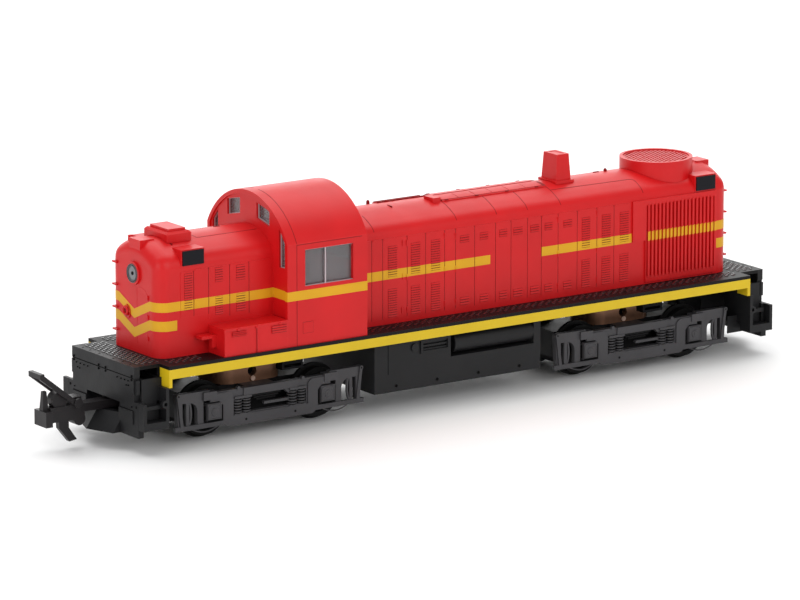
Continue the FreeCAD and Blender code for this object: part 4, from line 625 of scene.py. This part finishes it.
# the coiled hose beside the end door, and the chain that hangs round it
HOSE_Y, HOSE_Z, HOSE_RING, HOSE_WIRE, CHAIN = -3.3, 29.4, 0.9, 0.34, 1.75
for name, face, sign in (("front", NOSE, 1), ("rear", TAIL, -1)):
    low, high = span(name + "_headlight")
    lamp_z = (low.z + high.z) / 2
    lip = high.x if sign > 0 else low.x
    lamp = Piece("lamp_ring", "lamp", "seam_and_shade_black")
    lamp.ring((lip - sign * 0.1, 0, lamp_z), "x", LAMP_RING, LAMP_WIRE, turns=40)
    loops = []
    for radius, depth in LENS:
        x = lip - sign * LENS_SET + sign * depth
        loops.append([(x, radius * math.cos(t), lamp_z + radius * math.sin(t)) for t in circle(32)])
    lamp.sweep(loops, paint=1)
    lamp.rod((lip - sign * 0.4, 0, lamp_z), (lip - sign * 0.16, 0, lamp_z), BULB, sides=20, paint=2)
    lamp.finish(name + "_lamp_face", "locomotive", "lamp")

    # two leaves of a door, three hinges, the hose and its chain
    leaf = Piece("red_paint", "seam_and_shade_red")
    for y0, y1, cut in ((1.38, 5.6, 1.0), (-2.9, 1.22, 0.0)):
        outline = [(y0, LEAF_LOW), (y1, LEAF_LOW), (y1, 34.6), (y1 - cut, 35.75), (y0, 35.9)]
        leaf.sweep([[(face + sign * depth, y * sign, z) for y, z in outline]
                    for depth in (-0.1, 0.04)])
    for z in HINGE_HEIGHTS:
        leaf.block(out(face, sign, 0, 0.3), out(0, sign, 5.55, 6.1),
                   (z - HINGE_TALL, z + HINGE_TALL))
    hose_y = HOSE_Y * sign
    leaf.ring((face + sign * 0.35, hose_y, HOSE_Z), "x", HOSE_RING, HOSE_WIRE, turns=20)
    leaf.rod((face, hose_y, HOSE_Z), (face + sign * 0.3, hose_y, HOSE_Z), 0.6, sides=16, paint=1)
    turns = [math.radians(a) for a in range(-50, 81, 13)]
    leaf.tube([(face + sign * 0.22, hose_y + sign * CHAIN * math.cos(t),
                HOSE_Z - 0.2 + CHAIN * math.sin(t)) for t in turns], 0.13, sides=6)
    leaf.finish(name + "_end_door", "locomotive", "red_paint")

# ---------------------------------------------------------------- cab seams, plates and windows
FRONT_SEAM, SEAM_HALF = 48.36, 0.08    # the seam behind the cab's front edge, and its half width
cab = Piece("seam_and_shade_red", "red_paint")
upright = (FRONT_SEAM - SEAM_HALF, FRONT_SEAM + SEAM_HALF)
for side in (1, -1):
    face = side * CAB_SIDE
    # the upright seam, the seam under the roof, and the blank plate's edge
    for x, z in ((upright, (DECK, 44.2)), ((30.2, upright[1]), (44.08, 44.24)),
                 ((43.85, 46.75), (23.1, 25.8))):
        cab.block(x, out(face, side, *FLUSH), z)
    cab.block((43.93, 46.67), out(face, side, 0, 0.07), (23.18, 25.72), paint=1)
# the seam over the arched roof stops short of the crown, so that nothing stands above the roof
ARCH_TOP, ARCH_HALF = cab_roof_high.z, cab_roof_high.y
ARCH_RISE = ARCH_TOP - cab_high.z
ARCH = (ARCH_HALF ** 2 + ARCH_RISE ** 2) / (2 * ARCH_RISE)    # radius
FIRST, LAST, ARCH_STEPS = math.radians(3.0), math.asin(ARCH_HALF / ARCH), 24
for side in (1, -1):
    loops = []
    for i in range(ARCH_STEPS + 1):
        turn = side * (FIRST + (LAST - FIRST) * i / ARCH_STEPS)
        loops.append([(FRONT_SEAM + shift, (ARCH + rise) * math.sin(turn),
                       ARCH_TOP - ARCH + (ARCH + rise) * math.cos(turn))
                      for shift, rise in ((-SEAM_HALF, ROOT), (-SEAM_HALF, 0.025),
                                          (SEAM_HALF, 0.025), (SEAM_HALF, ROOT))])
    cab.sweep(loops)
cab.finish("cab_trim", "locomotive", "red_paint")

WINDOW = ((32.65, 46.05), (34.2, 42.8))    # a side window, along and up
RIM, BAR, BAR_HALF = 0.12, 40.2, 0.15      # its frame's width, and the place of the bar across it
frames = Piece("window_frame")
for side in (1, -1):
    face = side * CAB_SIDE
    shelf = out(face, side, -0.25, -0.65)
    frames.block((WINDOW[0][1] - RIM, WINDOW[0][1]), shelf, WINDOW[1])
    for z in ((WINDOW[1][0], WINDOW[1][0] + RIM), (WINDOW[1][1] - RIM, WINDOW[1][1])):
        frames.block(WINDOW[0], shelf, z)
    frames.block((BAR - BAR_HALF, BAR + BAR_HALF), out(face, side, -0.35, -0.5), WINDOW[1])


def end_frame(piece, face, sign, outline):
    """A thin frame inside an end window's opening."""
    centre = Vector((sum(p[0] for p in outline), sum(p[1] for p in outline))) / len(outline)
    inner = [(y + (RIM if centre.x > y else -RIM), z + (RIM if centre.y > z else -RIM))
             for y, z in outline]
    for i in range(len(outline)):
        j = (i + 1) % len(outline)
        quad = [outline[i], outline[j], inner[j], inner[i]]
        piece.sweep([[(face - sign * depth, y, z) for y, z in quad] for depth in (0.5, 0.8)])


# outlines (y, z) of the end windows on the left
SQUARE = [(3.5, 48.5), (8.9, 47.3), (8.9, 51.0), (3.5, 52.2)]
UPRIGHT = [(12.9, 38.5), (15.3, 38.5), (15.3, 45.0), (12.9, 47.8)]
for face, sign in ((CAB_FRONT, 1), (CAB_REAR, -1)):
    for outline in (SQUARE, UPRIGHT):
        for side in (1, -1):
            end_frame(frames, face, sign, [(side * y, z) for y, z in outline])
frames.finish("window_frames", "locomotive", "window_glass")

# ---------------------------------------------------------------- battery boxes
chest_high = span("battery_boxes")[1]
# (front, rear, underside, top) of the vents, each with a few slats
CHEST_VENTS, CHEST_SLATS = ((66.3, 62.4, 24.9, 26.0), (55.4, 51.4, 24.3, 26.0)), 3
CHEST_CATCHES = (64.6, 53.2, 59.55)
chests = Piece("red_paint", "seam_and_shade_red")
for side in (1, -1):
    face = side * chest_high.y
    for front, rear, low, high in CHEST_VENTS:
        # a dark plate of painted shade behind the slats
        chests.block((rear, front), out(face, side, *FLUSH), (low, high), paint=1)
        step = (high - low) / CHEST_SLATS
        for i in range(CHEST_SLATS):
            top = high - (i + 0.1) * step
            foot = top - step * 0.62
            section = [(top, 0.03), (foot, 0.18), (foot, ROOT), (top, ROOT)]
            chests.sweep([[(x, face + side * proud, z) for z, proud in section]
                          for x in (front, rear)])
    chests.block((59.47, 59.63), out(face, side, *FLUSH), (DECK, 26.4), paint=1)
    for x in CHEST_CATCHES:
        chests.block((x - 0.35, x + 0.35), out(face, side, 0, 0.25), (26.2, 26.6))
chests.finish("battery_box_trim", "locomotive", "red_paint", bevel=0.03)

# ---------------------------------------------------------------- walkway tread
TREAD_PITCH, TREAD_BAR = 1.0, 0.9    # spacing along the deck, and half a bar's length
BAR_WIDE, BAR_SHARE = 0.3, 0.94      # half a bar's width, and its share of its half length
# a bar's levels: height over the deck, and size
BAR_LEVELS = ((-0.03, 1.0), (0.1, 0.9), (0.16, 0.5))


def diamonds(piece, x, y):
    """Columns of raised bars with pointed ends over a rectangle of the deck."""
    for column in range(int((x[1] - x[0]) / TREAD_PITCH)):
        along = x[0] + TREAD_PITCH * (column + 0.5)
        start = y[0] + TREAD_BAR * (1 + column % 2)
        for row in range(int((y[1] - start) / (2 * TREAD_BAR) + 0.3)):
            across = start + 2 * TREAD_BAR * row
            loops = []
            for lift, share in BAR_LEVELS:
                a, b, z = BAR_WIDE * share, TREAD_BAR * BAR_SHARE * share, DECK + lift
                loops.append([(along + a, across, z), (along, across + b, z),
                              (along - a, across, z), (along, across - b, z)])
            piece.sweep(loops)


tread = Piece("tread_black")
for side in (1, -1):
    for x in ((-81.9, CAB_REAR - 0.3), (chest_high.x + 0.2, 81.6)):
        diamonds(tread, x, out(0, side, 11.0, 16.2))
    diamonds(tread, out(0, side, 82.6, 88.8), (-12.9, 12.9))
tread.finish("walkway_tread", "locomotive", "black_plastic")

# ---------------------------------------------------------------- pilots
PILOT = 90.6    # a pilot's face
# (y, height) of the bolts: the top pairs, the row under them, the odd ones and the gate's
BOLTS = [(y, z) for y in (-1.75, 1.2, -12.6, 12.4) for z in (18.05, 17.2)]
BOLTS += [(y, 16.75) for y in (-11.5, -9.8, -8.2, -6.6, 6.2, 7.9, 9.4, 10.9)]
BOLTS += [(s * y, z) for s in (-1, 1) for y, z in ((11.0, 15.7), (10.1, 15.6), (12.4, 10.9))]
BOLTS += [(s * y, z) for s in (1, -1) for y, z in ((12.0, 9.2), (7.9, 9.1))]
LARGE_ABOVE, LARGE_BELOW, LARGE, SMALL_BOLT = 17, 10, 0.32, 0.2    # heights, and radii
FOOT = (7.15, 13.1)                # the plate at the gate's foot, across
SOCKETS = (3.0, 7.0, 10.2)         # for posts, on the platforms
for name, sign in (("front", 1), ("rear", -1)):
    face = sign * PILOT
    piece = Piece("grey_plastic", "seam_and_shade_black")
    # the dark bolts, the line across the face, the foot plate's upper edge and the sockets are
    # painted shade
    for y, z in BOLTS:
        size = LARGE if z > LARGE_ABOVE or z < LARGE_BELOW else SMALL_BOLT
        piece.rod((face - sign * 0.05, y, z), (face + sign * 0.16, y, z), size, sides=8,
                  end_radius=size * 0.8, paint=1)
    piece.block(out(face, sign, 0, 0.06), (-13.2, 13.2), (17.57, 17.73), paint=1)
    for s in (1, -1):
        piece.block(out(face, sign, 0, 0.3), out(0, s, *FOOT), (6.9, 9.95))
        piece.block(out(face, sign, 0, 0.05), out(0, s, *FOOT), (9.95, 10.09), paint=1)
        # the step box's inner wall, and beside it a dark disc of painted shade for a hole
        piece.block(out(0, sign, 80.9, 86.5), out(0, s, 12.0, 12.2), (5.2, 9.4))
        piece.rod((face - sign * 0.3, s * 14.3, 11.1), (face + sign * 0.05, s * 14.3, 11.1), 0.32,
                  sides=10, paint=1)
        for y in SOCKETS:
            x = face - sign * 1.0
            piece.rod((x, s * y, DECK - 0.2), (x, s * y, DECK + 0.02), 0.3, sides=10, paint=1)
    piece.finish(name + "_pilot_bolts", "locomotive", "grey_plastic")

# ---------------------------------------------------------------- fuel tank
TANK_SIDE, PLUG_Z = 15.0, 6.5
TANK_PLUGS = (19.25, 7.55, -4.35, -16.25)
tank = Piece("grey_plastic", "seam_and_shade_black")
for side in (1, -1):
    face = side * TANK_SIDE
    tank.block((21.4, 21.6), out(face, side, *FLUSH), (9.4, 16.6), paint=1)
    # each plug: a grey rim round a dark disc of painted shade
    for x in TANK_PLUGS:
        tank.rod((x, face - side * 0.1, PLUG_Z), (x, face + side * 0.12, PLUG_Z), 0.5, sides=12,
                 end_radius=0.42)
        tank.rod((x, face, PLUG_Z), (x, face + side * 0.14, PLUG_Z), 0.4, sides=10, paint=1)
tank.finish("tank_trim", "locomotive", "grey_plastic", bevel=0.04)

# ---------------------------------------------------------------- trucks
FRAME = 13.5        # a sideframe's outer face
AXLE_AWAY = 15.7    # of an axle from its truck's centre
# axlebox lid: outline (along, z), its middle's height, and (size, depth) of its steps
LID = [(-1.8, 5.35), (1.8, 5.35), (1.8, 8.4), (1.3, 8.95), (-1.3, 8.95), (-1.8, 8.4)]
LID_Z = 7.1
LID_STEPS = ((1.0, 0.75), (0.97, 0.95), (0.88, 1.0), (0.84, 0.86), (0.5, 0.86))
SPRINGS, SPRING_TURNS = (6.4, 8.8), 5      # places off the truck's centre
HANGER_TOP, HANGER_FOOT, PIVOT_Z = 25.3, 24.3, 11.9
LEAVES = 4
for name, centre in TRUCKS.items():
    piece = Piece("truck_grey", "seam_and_shade_black", "black_plastic")
    for side in (1, -1):
        face = side * FRAME

        def bar(x, depths, z, paint=0):
            """A block on the sideframe's face."""
            piece.block(x, out(face, side, *depths), z, paint=paint)

        def boss(x, z, inner, outer, radius, sides, **kind):
            """A round boss on the sideframe's face, from depth inner to depth outer."""
            piece.rod((x, face + side * inner, z), (x, face + side * outer, z), radius,
                      sides=sides, **kind)

        for sign in (1, -1):
            axle = centre + sign * AXLE_AWAY
            # axlebox: a framed lid with a round boss, and dark strips of painted shade in the gaps
            # under and beside it
            piece.sweep([[(axle + u * share, face + side * depth, LID_Z + (z - LID_Z) * share)
                          for u, z in LID] for share, depth in LID_STEPS])
            boss(axle, LID_Z, 0.8, 1.05, 1.05, 20, end_radius=0.9)
            boss(axle, LID_Z, 0.9, 1.15, 0.45, 14)
            bar((axle - 1.9, axle + 1.9), (0.7, 0.83), (5.0, 5.32), paint=1)
            bar((axle - 2.5, axle - 2.05), FLUSH, (5.2, 8.6), paint=1)
            bar((axle + 2.05, axle + 2.5), FLUSH, (5.2, 8.6), paint=1)
            # coil springs: a dark core of painted shade shows between the turns
            for place in SPRINGS:
                x, y = centre + sign * place, face + side * -0.6
                piece.rod((x, y, 5.6), (x, y, 9.1), 1.02, sides=20, paint=1)
                for turn in range(SPRING_TURNS):
                    piece.ring((x, y, 6.0 + turn * 0.68), "z", 1.06, 0.19, turns=18, sides=6)
            bar(sorted((centre + sign * 5.3, centre + sign * 9.9)), (-0.3, 0.45), (9.25, 9.75))
            bar(sorted((centre + sign * 5.3, centre + sign * 9.9)), (-0.3, 0.3), (5.35, 5.65))
            boss(centre + sign * 8.9, 11.75, -0.3, 0.55, 0.42, 12)
            # hanger, brake shoe and safety strap at the end arch
            top, foot = centre + sign * HANGER_TOP, centre + sign * HANGER_FOOT
            boss(top, PIVOT_Z, -0.5, 0.5, 0.5, 16)
            # a dark disc of painted shade on the hanger's pivot
            boss(top, PIVOT_Z, 0.4, 0.53, 0.22, 10, paint=1)
            hanger = [(top - 0.36, PIVOT_Z), (top + 0.36, PIVOT_Z), (foot + 0.42, 4.3),
                      (foot - 0.42, 4.3)]
            piece.sweep([[(x, face + side * depth, z) for x, z in hanger] for depth in (-0.2, 0.4)])
            shoe = [(axle + sign * (6.9 - 1.0 * math.sin(math.radians(a))), face + side * -0.3,
                     7.4 + 3.1 * math.cos(math.radians(a))) for a in range(10, 171, 16)]
            piece.tube(shoe, 0.36, sides=6)
            strap = [(axle + sign * (6.5 - 1.05 * i), face + side * 0.1,
                      3.9 - 1.3 * math.sin(math.pi * i / 8)) for i in range(9)]
            piece.tube(strap, 0.16, sides=6)
        # two dark discs of painted shade low on the sideframe
        for u in (-6.8, 6.8):
            boss(centre + u, 4.1, 0.3, 0.37, 0.3, 10, paint=1)
        # leaf spring in the middle bay, in black darker than the truck: painted shade, as it lies
        # in the truck's shadow
        for i in range(LEAVES):
            half, z = 5.0 - i * 0.8, 9.2 - i * 0.5
            bar((centre - half, centre + half), (-2.2, -1.7), (z, z + 0.3), paint=2)
    piece.finish(name + "_side_details", name, "truck_grey")

    # a bright peg, and a dark disc of painted shade for a hole, on each side of the copper drum
    peg = Piece("contact", "seam_and_shade_black")
    for side in (1, -1):
        peg.rod((centre, side * 6.2, 11.4), (centre, side * 6.46, 11.4), 0.6, sides=16)
        peg.rod((centre, side * 4.1, 13.1), (centre, side * 4.4, 13.1), 1.18, sides=24, paint=1)
    peg.finish(name + "_contact_pegs", name, "copper")

# wheel faces: turned grooves
GROOVES, GROOVE_WIRE, DISH = (2.7, 3.4, 4.1), 0.09, 0.6    # radii, thickness, depth of the dish
for name in TRUCKS:
    for index in (1, 2):
        low, high = span(f"{name}_wheelset_{index}")
        x, z = (low.x + high.x) / 2, (low.z + high.z) / 2
        grooves = Piece("wheel_metal")
        for side in (1, -1):
            for radius in GROOVES:
                grooves.ring((x, side * (high.y - DISH), z), "y", radius, GROOVE_WIRE, turns=40,
                             sides=6)
        grooves.finish(f"{name}_wheel_{index}_faces", f"{name}_axle_{index}", "wheel_metal")

# ---------------------------------------------------------------- coupler
hook = Piece("coupler_black")
for side in (1, -1):
    hook.rod((98.9, side * 2.55, 11.0), (98.9, side * 2.95, 11.0), 1.1, sides=20)
hook.finish("coupler_pin_heads", "coupler_bail", "coupler_black", bevel=0.06)

# ---------------------------------------------------------------- floor, light and camera
FLOOR = 6    # metres from the middle to an edge
floor_mesh = bpy.data.meshes.new("floor")
builder = bmesh.new()
builder.faces.new([builder.verts.new((x * FLOOR, y * FLOOR, 0))
                   for x, y in ((-1, -1), (1, -1), (1, 1), (-1, 1))])
builder.to_mesh(floor_mesh)
builder.free()
floor = bpy.data.objects.new("floor", floor_mesh)
bpy.context.scene.collection.objects.link(floor)
floor_mesh.materials.append(surface("floor", (0.92, 0.92, 0.92), 0.7, grain=0.0, mottle=0.005,
                                    mottle_size=60, rough_swing=0.02, wear_and_highlight=0))

world = bpy.data.worlds.new("studio")
world.use_nodes = True
world.node_tree.nodes["Background"].inputs["Color"].default_value = (1, 1, 1, 1)
world.node_tree.nodes["Background"].inputs["Strength"].default_value = 0.42
bpy.context.scene.world = world


def softbox(name, place, target, size, power):
    """A rectangular lamp; places and sizes in metres, power in watts."""
    light = bpy.data.lights.new(name, "AREA")
    light.shape = "RECTANGLE"
    light.size, light.size_y = size
    light.energy = power
    obj = bpy.data.objects.new(name, light)
    obj.location = place
    obj.rotation_euler = (Vector(target) - Vector(place)).to_track_quat("-Z", "Y").to_euler()
    bpy.context.scene.collection.objects.link(obj)


softbox("top", (-0.1, -0.32, 0.85), (0, 0, 0), (1.4, 1.0), 9)
softbox("left", (-0.1, 1.1, 0.55), (0, 0, 0.02), (1.0, 0.6), 4.6)
softbox("front", (1.1, 0.35, 0.4), (0, 0, 0.02), (0.6, 0.6), 3.2)
softbox("back", (-0.65, -0.95, 0.32), (0, 0, 0.03), (1.6, 0.5), 5)

FOCAL, SENSOR, DISTANCE, CLIP_END = 268.07, 36.0, 1.4108, 20    # mm, mm, m, m
AZIMUTH, ELEVATION = math.radians(55.37), math.radians(12.88)
back = Vector((math.cos(AZIMUTH) * math.cos(ELEVATION), math.sin(AZIMUTH) * math.cos(ELEVATION),
               math.sin(ELEVATION)))
lens = bpy.data.cameras.new("camera")
lens.lens, lens.sensor_width, lens.clip_end = FOCAL, SENSOR, CLIP_END
camera = bpy.data.objects.new("camera", lens)
camera.location = at(7.78, 0, 22.8) + back * DISTANCE
camera.rotation_euler = (-back).to_track_quat("-Z", "Y").to_euler()
bpy.context.scene.collection.objects.link(camera)
bpy.context.scene.camera = camera
bpy.context.scene.view_settings.view_transform = "Standard"
